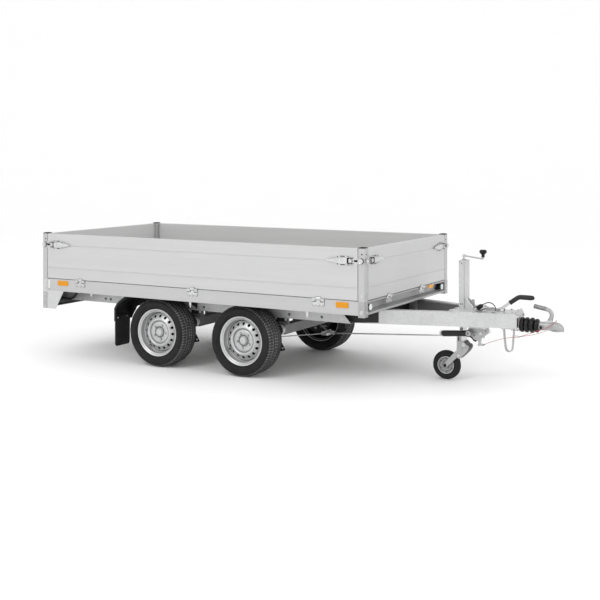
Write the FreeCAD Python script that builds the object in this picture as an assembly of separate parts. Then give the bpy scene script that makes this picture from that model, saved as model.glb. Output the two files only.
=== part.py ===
import FreeCAD, Part
import math
import os

V = FreeCAD.Vector
os.makedirs("parts", exist_ok=True)

# Tandem-axle flatbed trailer with four aluminium dropsides on corner posts,
# V-drawbar with overrun coupling and a folding jockey wheel.
# Millimetres. While building: X = 0 at the front face of the bed, +X forward,
# +Y to the trailer's left, Z = 0 on the ground.  Everything is shifted by
# SHIFT_X at the end, so that the origin is the middle of the footprint.

# ---------------------------------------------------------------- dimensions
BED_L = 2900.0          # outer length of the bed
HALF_W = 758.0          # half the outer width of the bed
RAIL_BOT = 532.0        # edge rail, lowest edge
RAIL_TOP = 628.5        # edge rail, top
RAIL_W = 40.0           # width of the rail's lips
RAIL_T = 4.0            # rail wall
BOARD_GAP = 5.0         # play below and beside a closed board
BOARD_TOP = 992.0
BOARD_T = 25.0
SEAMS = (901.0, 719.5)  # heights of the grooves between board planks
GROOVE = 2.6            # their depth and half width
POST_X = 46.0           # corner post, along the bed
POST_Y = 56.0           # corner post, across the bed
POST_BOT = 520.0
POST_WALL = 4.0
CAP_T = 8.0
FLOOR_Z = (612.0, 630.0)
HINGE_OUT = 8.0         # hinge axis, outboard of the rail face
HINGE_Z = 628.0
KNUCKLE_R = 5.0
PIN_R = 2.6
PIN_PLAY = 0.3
LATCH_Z = 905.0         # corner latches
KNOB_R = 18.0
KNOB_H = 18.0

TYRE_R = 262.0
TYRE_W = 200.0
WHEEL_Y = 604.0         # centre plane of the tyre
HUB_Z = 262.0
HUB_X = (-1043.0, -1809.0)
RIM_R = 182.5           # flange
BEAD_R = 167.0
RIM_HALF = 81.0
STUB_R = 22.0
AXLE_AHEAD = 215.0      # axle tube ahead of the hubs
AXLE_Z = 335.0
AXLE_SQ = 70.0
ARM_Y = WHEEL_Y - 138.0  # inner face of the swing arm
GUARD_Y = (506.0, 714.0)
GUARD_T = 4.0           # wheel guard wall

BEARERS_X = (-2700.0, -2400.0, -1417.0, -450.0, -115.0)
BEARER_Z = (536.0, 612.0)
BEAM_OUT = 495.0        # chassis beam, outer face
BEAM_Z = (427.0, 536.0)
BAR_Z = (420.0, 520.0)  # drawbar beams
BAR_X = (-365.0, 841.0)
BAR_Y0 = 335.0          # outer face at X = 0
BAR_SLOPE = -0.30       # outer face, dY/dX
BAR_W = 52.2            # beam width measured across the trailer

SHAFT_Z = 440.0         # overrun shaft and bellows
BALL_X, BALL_Z, BALL_R = 1108.0, 436.0, 25.5
NOSE_X = 1158.0

POST2_X = (409.0, 453.0)    # jockey post
POST2_Y = 50.0
POST2_Z = (436.0, 872.0)
LEG_Z = (272.0, 640.0)
KNEE = (425.0, 232.0)
JOCKEY = (299.0, 105.0)     # wheel axle
JOCKEY_R = 105.0
JOCKEY_W = 58.0

REAR_X = -BED_L
LATCH_OUT = 19.0        # how far a latch stands off its board
SHIFT_X = (BED_L + LATCH_OUT - NOSE_X) / 2.0   # middle of the footprint


# ------------------------------------------------------------------- helpers
def box(x0, x1, y0, y1, z0, z1):
    return Part.makeBox(x1 - x0, y1 - y0, z1 - z0, V(x0, y0, z0))


def face(pts):
    return Part.Face(Part.makePolygon([V(*p) for p in pts] + [V(*pts[0])]))


def prism_xz(pts, y0, y1):
    return face([(x, y0, z) for x, z in pts]).extrude(V(0, y1 - y0, 0))


def prism_yz(pts, x0, x1):
    return face([(x0, y, z) for y, z in pts]).extrude(V(x1 - x0, 0, 0))


def prism_xy(pts, z0, z1):
    return face([(x, y, z0) for x, y in pts]).extrude(V(0, 0, z1 - z0))


def cyl(p, d, r, h):
    return Part.makeCylinder(r, h, V(*p), V(*d))


def rod(a, b, r):
    d = V(*b) - V(*a)
    return Part.makeCylinder(r, d.Length, V(*a), d)


def ball(p, r):
    return Part.makeSphere(r, V(*p))


def bent_rod(pts, r):
    s = rod(pts[0], pts[1], r)
    for a, b in zip(pts[1:], pts[2:]):
        s = s.fuse([ball(a, r), rod(a, b, r)])
    return s.removeSplitter()


def fuse(*shapes):
    s = shapes[0].fuse(list(shapes[1:]))
    return s.removeSplitter()


def mirror(s):
    return s.mirror(V(0, 0, 0), V(0, 1, 0))


def turn_y(profile, x, y, z, side=1):
    """Solid of revolution about a Y axis; profile rows are (radius, outboard)."""
    f = face([(x + r, y + side * t, z) for r, t in profile])
    return f.revolve(V(x, y, z), V(0, 1, 0), 360)


def turn_x(profile, y, z):
    """Solid of revolution about an X axis; profile rows are (x, radius)."""
    f = face([(x, y, z + r) for x, r in profile])
    return f.revolve(V(0, y, z), V(1, 0, 0), 360)


def slot_xz(a, b, ra, rb, y0, y1):
    """Plate with round ends ra, rb about two points of the XZ plane."""
    ax, az = a
    bx, bz = b
    d = math.hypot(bx - ax, bz - az)
    ux, uz = (bx - ax) / d, (bz - az) / d
    s = (ra - rb) / d
    c = math.sqrt(1 - s * s)
    quad = []
    for sg in (1, -1):
        nx, nz = s * ux - sg * c * uz, s * uz + sg * c * ux
        quad.append(((ax + ra * nx, az + ra * nz), (bx + rb * nx, bz + rb * nz)))
    pts = [quad[0][0], quad[0][1], quad[1][1], quad[1][0]]
    return fuse(prism_xz(pts, y0, y1),
                cyl((ax, y0, az), (0, 1, 0), ra, y1 - y0),
                cyl((bx, y0, bz), (0, 1, 0), rb, y1 - y0))


parts = {}


def keep(name, *shapes):
    """A node: one solid, or like solids that stand apart."""
    solids = []
    for s in shapes:
        solids += s.Solids
    parts[name] = solids[0] if len(solids) == 1 else Part.makeCompound(solids)


def both(s):
    return [s, mirror(s)]


# ------------------------------------------------------------- bed and posts
inner_y = HALF_W - POST_Y
keep("bed_floor", box(REAR_X + RAIL_W + 4, -RAIL_W - 4, -HALF_W + RAIL_W + 2, HALF_W - RAIL_W - 2, *FLOOR_Z).cut(
    [box(x0, x1, y0, y1, 600, 640)
     for x0, x1 in ((-POST_X - 1, 0), (REAR_X, REAR_X + POST_X + 1))
     for y0, y1 in ((inner_y - 1, HALF_W), (-HALF_W, -inner_y + 1))]))


def rail_section(sign):
    """C-section open towards the floor: rows are (from outer face, height)."""
    o = [(0, RAIL_BOT), (0, RAIL_TOP), (RAIL_W, RAIL_TOP), (RAIL_W, RAIL_TOP - 4.5), (RAIL_T, RAIL_TOP - 4.5),
         (RAIL_T, RAIL_BOT + RAIL_T), (RAIL_W, RAIL_BOT + RAIL_T), (RAIL_W, RAIL_BOT)]
    return [(sign * (HALF_W - d), z) for d, z in o]


keep("side_rails", *[prism_yz(rail_section(s), REAR_X + POST_X, -POST_X) for s in (1, -1)])
# The front rail is rolled back into a trough that takes the lamps: rows are
# (depth from the outer face, height), outer surface, then the inner one.
TROUGH = [(RAIL_W, RAIL_TOP), (0, RAIL_TOP), (0, 618), (50, 607), (50, 560), (4, 548), (0, 542), (5, RAIL_BOT), (62, RAIL_BOT)]
TROUGH_IN = [(62, RAIL_BOT + 4), (8, RAIL_BOT + 4), (5, 542), (7, 544.7), (54, 557), (54, 611), (38, 611.8), (4, 621.5), (4, RAIL_TOP - 4.5),
             (RAIL_W, RAIL_TOP - 4.5)]
front_rail = prism_xz([(-d, z) for d, z in TROUGH + TROUGH_IN], -inner_y, inner_y)
rear_rail = prism_xz([(REAR_X + (HALF_W - abs(y)), z) for y, z in rail_section(1)], -inner_y, inner_y)
keep("end_rails", front_rail, rear_rail)


def post(x0, y0):
    o = box(x0, x0 + POST_X, y0, y0 + POST_Y, POST_BOT, BOARD_TOP)
    w = POST_WALL
    return o.cut(box(x0 + w, x0 + POST_X - w, y0 + w, y0 + POST_Y - w, POST_BOT - 1, BOARD_TOP + 1))


corners = [(-POST_X, -HALF_W), (-POST_X, inner_y), (REAR_X, -HALF_W), (REAR_X, inner_y)]
keep("corner_posts", *[post(x, y) for x, y in corners])
keep("post_caps", *[fuse(box(x - 1.5, x + POST_X + 1.5, y - 1.5, y + POST_Y + 1.5, BOARD_TOP, BOARD_TOP + CAP_T),
                         box(x + 6, x + POST_X - 6, y + 6, y + POST_Y - 6, BOARD_TOP - 20, BOARD_TOP + 1))
                    for x, y in corners])

knob_x = (-24.0, REAR_X + 24.0)
knob_y = 730.0
knobs = []
for x in knob_x:
    knobs += both(fuse(cyl((x, -HALF_W, LATCH_Z), (0, -1, 0), 9.0, KNOB_H - 7),
                       cyl((x, -HALF_W - KNOB_H + 7, LATCH_Z), (0, -1, 0), KNOB_R, 7)))
knobs += both(fuse(cyl((0, -knob_y, LATCH_Z), (1, 0, 0), 9.0, KNOB_H - 7),
                   cyl((KNOB_H - 7, -knob_y, LATCH_Z), (1, 0, 0), KNOB_R, 7)))
knobs += both(fuse(cyl((REAR_X, -knob_y, LATCH_Z), (-1, 0, 0), 9.0, KNOB_H - 7),
                   cyl((REAR_X - KNOB_H + 7, -knob_y, LATCH_Z), (-1, 0, 0), KNOB_R, 7)))
keep("latch_knobs", *knobs)

# ------------------------------------------------- boards, latches and hinges
board_bot = RAIL_TOP + BOARD_GAP


def board_section():
    """Rows are (depth from the outer face, height)."""
    pts = [(0, board_bot), (BOARD_T, board_bot), (BOARD_T, BOARD_TOP - 2), (BOARD_T - 2, BOARD_TOP),
           (2, BOARD_TOP), (0, BOARD_TOP - 2)]
    for z in SEAMS:
        pts += [(0, z + GROOVE + 1.5), (GROOVE, z + GROOVE), (GROOVE, z - GROOVE), (0, z - GROOVE - 1.5)]
    return pts


SIDE_END = POST_X + BOARD_GAP                 # board's end from the bed's end
END_HALF = inner_y - BOARD_GAP                # half the length of an end board
right_board = prism_yz([(-HALF_W + d, z) for d, z in board_section()], REAR_X + SIDE_END, -SIDE_END)
keep("right_board", right_board)
keep("left_board", mirror(right_board))
keep("front_board", prism_xz([(-d, z) for d, z in board_section()], -END_HALF, END_HALF))
keep("rear_board", prism_xz([(REAR_X + d, z) for d, z in board_section()], -END_HALF, END_HALF))

# Fittings are drawn in a local frame: u along the board from left to right as
# seen from outside, w up, o outboard of the board's outer face.
HINGES_SIDE = (-355.0, -1422.0, -2507.0)
HINGES_END = (-366.0, 230.0)                  # y of the front board's hinges
STRAP_HALF = 19.0
LEAF_HALF = 47.0


def latch(end, d):
    """Over-centre latch: plate, tapered lever and draw rod. d = +1 runs to +u."""
    half = [(0, 27), (100, 31), (150, 31), (166, 28)]                             # plate (u, w)
    arm = [(36, 21), (74, 21), (80, 18.5), (115, 20), (150, 19), (200, 12.5), (234, 6), (240, 2)]
    rows, lever = [pts + [(u, -w) for u, w in pts[::-1]] for pts in (half, arm)]
    s = []
    for pts, o0, o1 in ((rows, 0, 4), (lever, 4, LATCH_OUT)):
        s.append(face([(end + d * u, -o0, LATCH_Z + w) for u, w in pts]).extrude(V(0, -(o1 - o0), 0)))
    s.append(rod((end + d * 56, -8, LATCH_Z - 25), (end + d * 56, -8, LATCH_Z + 25), 6))
    return fuse(*s)


def strap(c):
    """Board's half of a hinge: plate and middle knuckle."""
    z = HINGE_Z
    rows = [(0, board_bot), (0, z + 14), (3, z + 14), (3, z + 13), (10, z + 2), (8, z - 3), (5, z)]
    s = face([(c - STRAP_HALF, -o, w) for o, w in rows]).extrude(V(2 * STRAP_HALF, 0, 0))
    s = fuse(s, cyl((c - STRAP_HALF, -HINGE_OUT, z), (1, 0, 0), KNUCKLE_R, 2 * STRAP_HALF))
    return s.cut(cyl((c - STRAP_HALF - 1, -HINGE_OUT, z), (1, 0, 0), PIN_R + PIN_PLAY, 2 * STRAP_HALF + 2))


def leaf(c):
    """Rail's half of a hinge: plate, two knuckles and the pin."""
    z = HINGE_Z
    s = [box(c - LEAF_HALF, c + LEAF_HALF, -3, 0, 578, 619)]
    for u0, u1 in ((c - LEAF_HALF, c - STRAP_HALF - 1.5), (c + STRAP_HALF + 1.5, c + LEAF_HALF)):
        s.append(face([(u0, -o, w) for o, w in [(0, 600), (0, z - 2), (5, z + 2), (10, z - 3), (3, 604)]])
                 .extrude(V(u1 - u0, 0, 0)))
        s.append(cyl((u0, -HINGE_OUT, z), (1, 0, 0), KNUCKLE_R, u1 - u0))
    s.append(cyl((c - LEAF_HALF, -HINGE_OUT, z), (1, 0, 0), PIN_R, 2 * LEAF_HALF))
    return fuse(*s)


def place_right(s):
    return s.translated(V(0, -HALF_W, 0))


def place_front(s):
    s = s.copy()
    s.rotate(V(0, 0, 0), V(0, 0, 1), 90)      # local u -> +Y, outboard -> +X
    return s


def place_rear(s):
    s = s.copy()
    s.rotate(V(0, 0, 0), V(0, 0, 1), -90)     # local u -> -Y, outboard -> -X
    return s.translated(V(REAR_X, 0, 0))


lat_side = SIDE_END - BOARD_GAP + 2.0         # latch starts just clear of the knob
right_fit = [latch(-lat_side, -1), latch(REAR_X + lat_side, 1)] + [strap(c) for c in HINGES_SIDE]
right_fit = [place_right(s) for s in right_fit]
keep("right_board_fittings", *right_fit)
keep("left_board_fittings", *[mirror(s) for s in right_fit])
lat_end = knob_y - KNOB_R - 5.0
front_fit = [latch(-lat_end, 1), latch(lat_end, -1)] + [strap(c) for c in HINGES_END]
keep("front_board_fittings", *[place_front(s) for s in front_fit])
rear_fit = [latch(-lat_end, 1), latch(lat_end, -1)] + [strap(c) for c in (-300.0, 300.0)]
keep("rear_board_fittings", *[place_rear(s) for s in rear_fit])
leaves = []
for c in HINGES_SIDE:
    leaves += both(place_right(leaf(c)))
leaves += [place_front(leaf(c)) for c in HINGES_END] + [place_rear(leaf(c)) for c in (-300.0, 300.0)]
keep("hinge_leaves", *leaves)

# -------------------------------------------------------- lamps and reflectors
refl = []
for x0, x1 in ((-216.0, -121.0), (-2740.0, -2635.0)):
    refl += both(box(x0, x1, -HALF_W - 6, -HALF_W, 578, 617))
refl.append(box(0, 6, 358, 450, 599, 624))
keep("amber_reflectors", *refl)
LAMP_Y, LAMP_Z = 652.0, 582.0
keep("marker_lamps", *both(turn_x([(-50, 0), (-50, 20), (-44, 21.5), (-12, 21.5), (-12, 22.5), (-4, 22.5), (0, 20), (2, 14), (2, 0)],
                                  -LAMP_Y, LAMP_Z)))

# -------------------------------------------------------------- rear carrier
skirt = [(REAR_X, 387), (REAR_X + 134, 387), (REAR_X + 217, RAIL_BOT), (REAR_X + 46, RAIL_BOT), (REAR_X + 46, POST_BOT),
         (REAR_X, POST_BOT)]
keep("rear_skirts", *both(prism_xz(skirt, -HALF_W, -HALF_W + 3)))
keep("rear_lamp_panel", fuse(box(REAR_X + 12, REAR_X + 15, -HALF_W + 3, HALF_W - 3, 392, POST_BOT),
                             box(REAR_X + 15, REAR_X + 40, -HALF_W + 3, HALF_W - 3, 392, 396)))
keep("tail_lamps", *both(box(REAR_X, REAR_X + 12, -730, -510, 400, 500)))

# ------------------------------------------------------------------- chassis
bearers = []
for x in BEARERS_X:
    z0, z1 = BEARER_Z
    rows = [(x - 20, z0), (x + 20, z0), (x + 20, z0 + 4), (x - 16, z0 + 4), (x - 16, z1 - 4), (x + 20, z1 - 4),
            (x + 20, z1), (x - 20, z1)]
    hy = HALF_W - RAIL_T if REAR_X + POST_X + 21 < x < -POST_X - 21 else 716
    bearers.append(prism_xz(rows, -hy, hy))
keep("cross_bearers", *bearers)

rows = [(BEAM_OUT, BEAM_Z[0]), (BEAM_OUT, BEAM_Z[1]), (BEAM_OUT - 50, BEAM_Z[1]), (BEAM_OUT - 50, BEAM_Z[1] - 4),
        (BEAM_OUT - 4, BEAM_Z[1] - 4), (BEAM_OUT - 4, BEAM_Z[0] + 4), (BEAM_OUT - 50, BEAM_Z[0] + 4),
        (BEAM_OUT - 50, BEAM_Z[0])]
BEAM_X = (-2884.0, -205.0)
end_cut = prism_xz([(-292, BEAM_Z[1] + 1), (-204, BEAM_Z[1] + 1), (-204, BEAM_Z[0] - 1), (-232, BEAM_Z[0] - 1), (-287, 483),
                    (-292, 506)], -500, -440)
rear_notch = box(REAR_X, REAR_X + RAIL_W + 2, -500, -440, RAIL_BOT - 0.5, BEAM_Z[1] + 1)      # under the rear rail's lip
keep("chassis_beams", *both(prism_yz([(-y, z) for y, z in rows], *BEAM_X).cut([end_cut, rear_notch])))


def bar_face(x):
    return BAR_Y0 + BAR_SLOPE * x


def bar(inset, x0, x1, z0, z1):
    i = inset * 1.044
    pts = [(x0, -(bar_face(x0) - i)), (x1, -(bar_face(x1) - i)),
           (x1, -(bar_face(x1) - BAR_W + i)), (x0, -(bar_face(x0) - BAR_W + i))]
    return prism_xy(pts, z0, z1)


bar_full = bar(0, *BAR_X, *BAR_Z)
bar_tube = bar_full.cut(bar(4, BAR_X[0] - 1, BAR_X[1] + 1, BAR_Z[0] + 4, BAR_Z[1] - 4))
keep("drawbar_beams", *both(bar_tube))
member = prism_xy([(-150, -(bar_face(-150) - BAR_W)), (-80, -(bar_face(-80) - BAR_W)),
                   (-80, bar_face(-80) - BAR_W), (-150, bar_face(-150) - BAR_W)], BAR_Z[0], BEARER_Z[0]).cut(
    box(-144, -79, -681, 681, BAR_Z[0] + 6, BEARER_Z[0] - 6))
keep("front_crossmember", member)
BRACKET_T = 8.0
side = [(-325, BEARER_Z[0]), (-80, BEARER_Z[0]), (-80, 429), (-270, 423), (-300, 430)]
slab = prism_xy([(-345, -(bar_face(-345) + BRACKET_T)), (-80, -(bar_face(-80) + BRACKET_T)),
                 (-80, -bar_face(-80)), (-345, -bar_face(-345))], 400, BEARER_Z[0])
flange = prism_xy([(-150, -(bar_face(-150) + 45)), (-80, -(bar_face(-80) + 45)),
                   (-80, -(bar_face(-80) - BAR_W)), (-150, -(bar_face(-150) - BAR_W))], BAR_Z[1], BEARER_Z[0])
keep("drawbar_brackets", *both(fuse(prism_xz(side, -500, -300).common(slab), flange)))

# ------------------------------------------------------------- axles, guards
tubes, arms = [], []
h = AXLE_SQ / 2
for hx in HUB_X:
    tx = hx + AXLE_AHEAD
    tube = box(tx - h, tx + h, -ARM_Y, ARM_Y, AXLE_Z - h, AXLE_Z + h)
    pads = [box(tx - 60, tx + 60, y0, y0 + 16, AXLE_Z + h, BEAM_Z[0]) for y0 in (-ARM_Y + 4, ARM_Y - 20)]
    tubes.append(fuse(tube, *pads))
    arm = fuse(slot_xz((tx, AXLE_Z), (hx, HUB_Z), 40, 34, -ARM_Y - 30, -ARM_Y),
               cyl((hx, -ARM_Y - 30, HUB_Z), (0, -1, 0), 30, 14),
               cyl((hx, -ARM_Y - 44, HUB_Z), (0, -1, 0), 118, 8),
               cyl((hx, -ARM_Y - 52, HUB_Z), (0, -1, 0), STUB_R, WHEEL_Y + 19 - ARM_Y - 52))
    arms += both(arm)
keep("axle_tubes", *tubes)
keep("swing_arms", *arms)


def inset(pts, t):
    """The same open run of points, t to the right of its direction of travel."""
    out = []
    for i, (x, z) in enumerate(pts):
        dirs = []
        for a, b in ((i - 1, i), (i, i + 1)):
            if a >= 0 and b < len(pts):
                dx, dz = pts[b][0] - pts[a][0], pts[b][1] - pts[a][1]
                q = math.hypot(dx, dz)
                dirs.append((dz / q, -dx / q))
        nx, nz = sum(d[0] for d in dirs) / len(dirs), sum(d[1] for d in dirs) / len(dirs)
        q = nx * nx + nz * nz
        out.append((x + t * nx / q, z + t * nz / q))
    return out


def guard(pts, cheek):
    """Bent sheet over a wheel, a lip along its outer edge and an inner cheek; rows are (x, z), rear to front."""
    y0, y1 = -GUARD_Y[1], -GUARD_Y[0]
    return fuse(prism_xz(pts + inset(pts, GUARD_T)[::-1], y0, y1), prism_xz(cheek, y1, y1 + 4),
                prism_xz(inset(pts, GUARD_T) + inset(pts, GUARD_T + 14)[::-1], y0, y0 + 3))


TOP = FLOOR_Z[0]
GUARD_REAR = [(-2201, 325), (-2201, 425), (-2180, 461), (-2153, 486), (-2105, 519), (-2010, 578), (-1930, TOP),
              (-1445, TOP), (-1445, 540)]
GUARD_FRONT = [(-1389, 540), (-1389, TOP), (-790, TOP), (-735, 590), (-705, 545)]
CHEEK_REAR = GUARD_REAR[:7] + [(-1560, TOP), (-1560, 440), (-1600, 470), (-1690, 500), (-1809, 510), (-1940, 500), (-2030, 478),
                              (-2105, 442), (-2141, 418), (-2153, 393), (-2173, 364), (-2192, 325)]
CHEEK_FRONT = [(-1310, TOP), (-790, TOP), (-735, 590), (-705, 545), (-760, 520), (-840, 504), (-1043, 500), (-1180, 502),
               (-1260, 514), (-1310, 540)]
keep("wheel_guards", *(both(guard(GUARD_REAR, CHEEK_REAR)) + both(guard(GUARD_FRONT, CHEEK_FRONT))))
FLAP_X = GUARD_REAR[0][0] + GUARD_T
keep("mud_flaps", *both(prism_yz([(-710, 372), (-710, 300), (-708, 142), (-694, 128), (-546, 128), (-534, 142), (-530, 300),
                                  (-530, 372)], FLAP_X, FLAP_X + 8)))

# -------------------------------------------------------------------- wheels
tyre_rows = [(BEAD_R, -74), (BEAD_R, 74), (RIM_R + 1, 75), (197, 90), (216, 100), (236, 98), (250, 91), (258, 82),
             (TYRE_R, 60), (TYRE_R, -60), (258, -82), (250, -91), (236, -98), (216, -100), (197, -90), (RIM_R + 1, -75)]
rim_rows = [(BEAD_R, -74), (RIM_R, -75), (RIM_R, -RIM_HALF), (BEAD_R, -RIM_HALF), (162, -70), (162, -8), (152, 4),
            (146, 15), (138, 28), (112, 43), (96, 49), (80, 36), (62, 33), (60, 0), (115, -12), (115, -72), (105, -72), (105, -24),
            (STUB_R + 0.4, -24), (STUB_R + 0.4, 22), (0, 22), (0, 56), (24, 56), (28, 51), (30, 41), (78, 40), (88, 48),
            (97, 55), (104, 54), (138, 34), (150, 22), (156, 30), (161, 55), (162, 66), (BEAD_R, RIM_HALF), (RIM_R, RIM_HALF),
            (RIM_R, 75), (BEAD_R, 74)]
wheel_names = []
for end, hx in (("front", HUB_X[0]), ("rear", HUB_X[1])):
    for side, sg in (("right", -1), ("left", 1)):
        n = end + "_" + side
        wheel_names.append(n)
        keep("tyre_" + n, turn_y(tyre_rows, hx, sg * WHEEL_Y, HUB_Z, sg))
        keep("rim_" + n, turn_y(rim_rows, hx, sg * WHEEL_Y, HUB_Z, sg))

# --------------------------------------------------------------- free cords
LEAD_D = 7.0
LEAD = [(598, -65, 569), (620.9, -65, 585.1), (654.9, -65, 586.8), (680.3, -65, 570.9), (690.4, -65, 549.2),
        (690.4, -65, 531)]                    # plug's rear end to the gland
CABLE_D = 3.0
CABLE = [(618, -85, 293), (668, -86, 314.5), (718, -84.5, 333), (768, -79, 347), (817, -67, 356), (862, -45, 361),
         (905, -15, 366), (948, 17, 374), (990, 42, 388), (1030, 54, 408), (1064, 55, 435), (1088, 46, 464),
         (1103, 24, 483), (1106, -6, 486), (1099, -32, 475), (1080, -49, 454), (1046, -56, 433), (1002, -58, 415),
         (956, -59, 398.5), (909.6, -57, 379.3), (872, -57, 365.5)]   # relay ferrule, round the coupling, to the hook


def cord(name, pts, d):
    """Tube along straight runs joined by tangent arcs."""
    P = [V(*p) for p in pts]
    edges, at, length, radii = [], P[0], 0.0, []
    for a, b, c in zip(P, P[1:], P[2:]):
        u, w = (b - a).normalize(), (c - b).normalize()
        half = math.acos(max(-1, min(1, u.dot(w)))) / 2
        cut = 0.45 * min((b - a).Length, (c - b).Length)
        r = cut / math.tan(half)
        radii.append(r)
        p, q = b - u * cut, b + w * cut
        n = (w - u).normalize()
        mid = b + n * (r / math.cos(half) - r)
        edges += [Part.LineSegment(at, p).toShape(), Part.Arc(p, mid, q).toShape()]
        length += (p - at).Length + 2 * half * r
        at = q
    edges.append(Part.LineSegment(at, P[-1]).toShape())
    length += (P[-1] - at).Length
    path = Part.Wire(edges)
    ring = Part.Wire([Part.Circle(P[0], (P[1] - P[0]).normalize(), d / 2).toShape()])
    tube = path.makePipeShell([ring], True, False)
    print("%-16s length %.1f mm, radii %.0f to %.0f mm, volume ratio %.4f, valid %s"
          % (name, length, min(radii), max(radii), tube.Volume / (math.pi * d * d / 4 * length), tube.isValid()))
    keep(name, tube)


cord("plug_lead", LEAD, LEAD_D)
cord("breakaway_cable", CABLE, CABLE_D)
ax = (V(*LEAD[1]) - V(*LEAD[0])).normalize()


def along(t):
    return V(*LEAD[0]) - ax * t


plug = fuse(Part.makeCylinder(9, 10, along(10), ax), Part.makeCylinder(14, 14, along(22), ax),
            Part.makeCylinder(17, 30, along(52), ax))
foot = box(538, 556, LEAD[0][1] - 8, LEAD[0][1] + 8, BAR_Z[1] + 6, 542)
keep("light_plug", fuse(plug, foot))
HOOK = (840.0, -57.0, 360.0)                   # middle of the snap hook's ring
hx0, hx1, hz0, hz1 = HOOK[0] - 17, HOOK[0] + 17, HOOK[2] - 7, HOOK[2] + 7
ring_pts = [(hx0, hz0), (hx0, hz1), (hx1, hz1), (hx1, hz0)]
loop = [rod((a[0], HOOK[1], a[1]), (b[0], HOOK[1], b[1]), 2.2) for a, b in zip(ring_pts, ring_pts[1:] + ring_pts[:1])]
loop += [ball((x, HOOK[1], z), 2.2) for x, z in ring_pts]
keep("cable_hook", fuse(*loop, rod((HOOK[0] + 17, HOOK[1], 360.0), CABLE[-1], 3.2)))

# ----------------------------------------------------------- drawbar fittings
housing = fuse(turn_x([(600, 0), (600, 30), (838, 30), (838, 0)], 0, SHAFT_Z),
               box(590, 838, -31, 31, SHAFT_Z + 20, BAR_Z[1] + 4),
               box(590, 838, -86, 86, BAR_Z[1], BAR_Z[1] + 5),
               prism_yz([(-86, 404), (78, 404), (78, 516), (34, 548), (-40, 548), (-86, 516)], 841, 850),
               box(826, 842, -30, 30, 414, BAR_Z[1] + 4),
               cyl((LEAD[-1][0], LEAD[-1][1], BAR_Z[1] + 5), (0, 0, 1), 9, 6))
keep("overrun_housing", housing)
bel = [(850, 25.5), (850, 42)]
for i, (xc, r) in enumerate(((866, 53), (899, 54), (936, 54), (970, 47))):
    bel += [(xc - 17 if i else 854, 36), (xc - 5, r), (xc + 5, r)]
bel += [(981, 34), (984, 34), (984, 25.5)]
keep("bellows", turn_x(bel, 0, SHAFT_Z))

head = fuse(turn_x([(850, 0), (850, 25), (992, 25), (992, 0)], 0, SHAFT_Z),
            prism_xz([(988, 414), (988, 462), (1020, 468), (1100, 468), (1100, 412), (1020, 410)], -31, 31),
            cyl((BALL_X, 0, 411), (0, 0, 1), 38, 27),
            ball((BALL_X, 0, BALL_Z), 38).common(box(BALL_X - 50, BALL_X + 50, -50, 50, 430, 500)),
            prism_xz([(BALL_X, 411), (NOSE_X, 411), (NOSE_X, 424), (BALL_X + 36, 450), (BALL_X, 450)], -20, 20),
            cyl((1003, -35, 434), (0, 1, 0), 9, 70))
head = head.cut(fuse(cyl((BALL_X, 0, 400), (0, 0, 1), BALL_R, BALL_Z - 400), ball((BALL_X, 0, BALL_Z), BALL_R)))
keep("coupling_head", head.removeSplitter())
handle = bent_rod([(1056, 0, 486), (1070, 0, 532), (1050, 0, 556), (952, 0, 574)], 14.5)
keep("coupling_handle", fuse(handle, prism_xz([(1034, 468.1), (1078, 468.1), (1076, 490), (1042, 490)], -16, 16)))

HB_Y = -30.0
keep("handbrake_lever", fuse(slot_xz((712, 539), (774.6, 584.1), 12, 12, HB_Y - 6, HB_Y + 6),
                             box(690, 742, HB_Y - 14, HB_Y + 14, BAR_Z[1] + 5, BAR_Z[1] + 18)))
keep("handbrake_grip", bent_rod([(785, HB_Y, 591), (847, HB_Y, 634), (943, HB_Y, 634)], 16.5))

# ------------------------------------------------------------- jockey wheel
x0, x1 = POST2_X
z0, z1 = POST2_Z
w = 3.0
post_j = box(x0, x1, -POST2_Y, POST2_Y, z0, z1).cut(
    box(x0 + w, x1 - w, -POST2_Y + w, POST2_Y - w, z0 - 1, z1 - 4))
plate = box(380, 560, -196, 196, BAR_Z[1], BAR_Z[1] + 6).cut(
    [box(x0, x1, -POST2_Y, POST2_Y, 500, 540),
     prism_xy([(380, -250), (560, -250), (560, -167), (380, -221)], 500, 540),
     prism_xy([(380, 250), (560, 250), (560, 167), (380, 221)], 500, 540)])
gussets = [prism_xz([(x1, 526), (x1 + 66, 526), (x1 + 40, 560), (x1, 598)], y, y + 5) for y in (-38, 33)]
keep("jockey_post", fuse(post_j, plate, *gussets))
leg = box(413, 437, -40, 40, *LEG_Z)
leg = leg.cut(box(417, 433, -36, 36, LEG_Z[0] + 6, LEG_Z[1] + 1))
knee_plates = [prism_xz([(391, 225), (392, 328), (421, 328), (421, 292), (446, 290), (452, 272), (486, 264),
                         (494, 248), (470, 213), (438, 184), (404, 163), (388, 184)], y, y + 6)
               for y in (-46, 40)]
pin = cyl((KNEE[0], -52, KNEE[1]), (0, 1, 0), 8, 104)
keep("jockey_leg", fuse(leg, pin, *knee_plates))
arm_parts = []
for y in (-37.5, 33.5):
    arm_parts.append(slot_xz(KNEE, JOCKEY, 22, 17, y, y + 4))
arm_parts.append(prism_xz([(381, 184.7), (391.5, 194.1), (383.5, 203.1), (373, 193.7)], -36, 36))
arm = fuse(*arm_parts).cut(cyl((KNEE[0], -60, KNEE[1]), (0, 1, 0), 8.3, 120))
arm = arm.fuse(cyl((JOCKEY[0], -42, JOCKEY[1]), (0, 1, 0), 8, 84)).removeSplitter()
keep("jockey_arm", arm)
hw = JOCKEY_W / 2
keep("jockey_tyre", turn_y([(62, -26), (62, 26), (80, 28), (92, 26), (101, 18), (105, 7), (105, -7), (101, -18),
                            (92, -26), (80, -28)], JOCKEY[0], 0, JOCKEY[1]))
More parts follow.
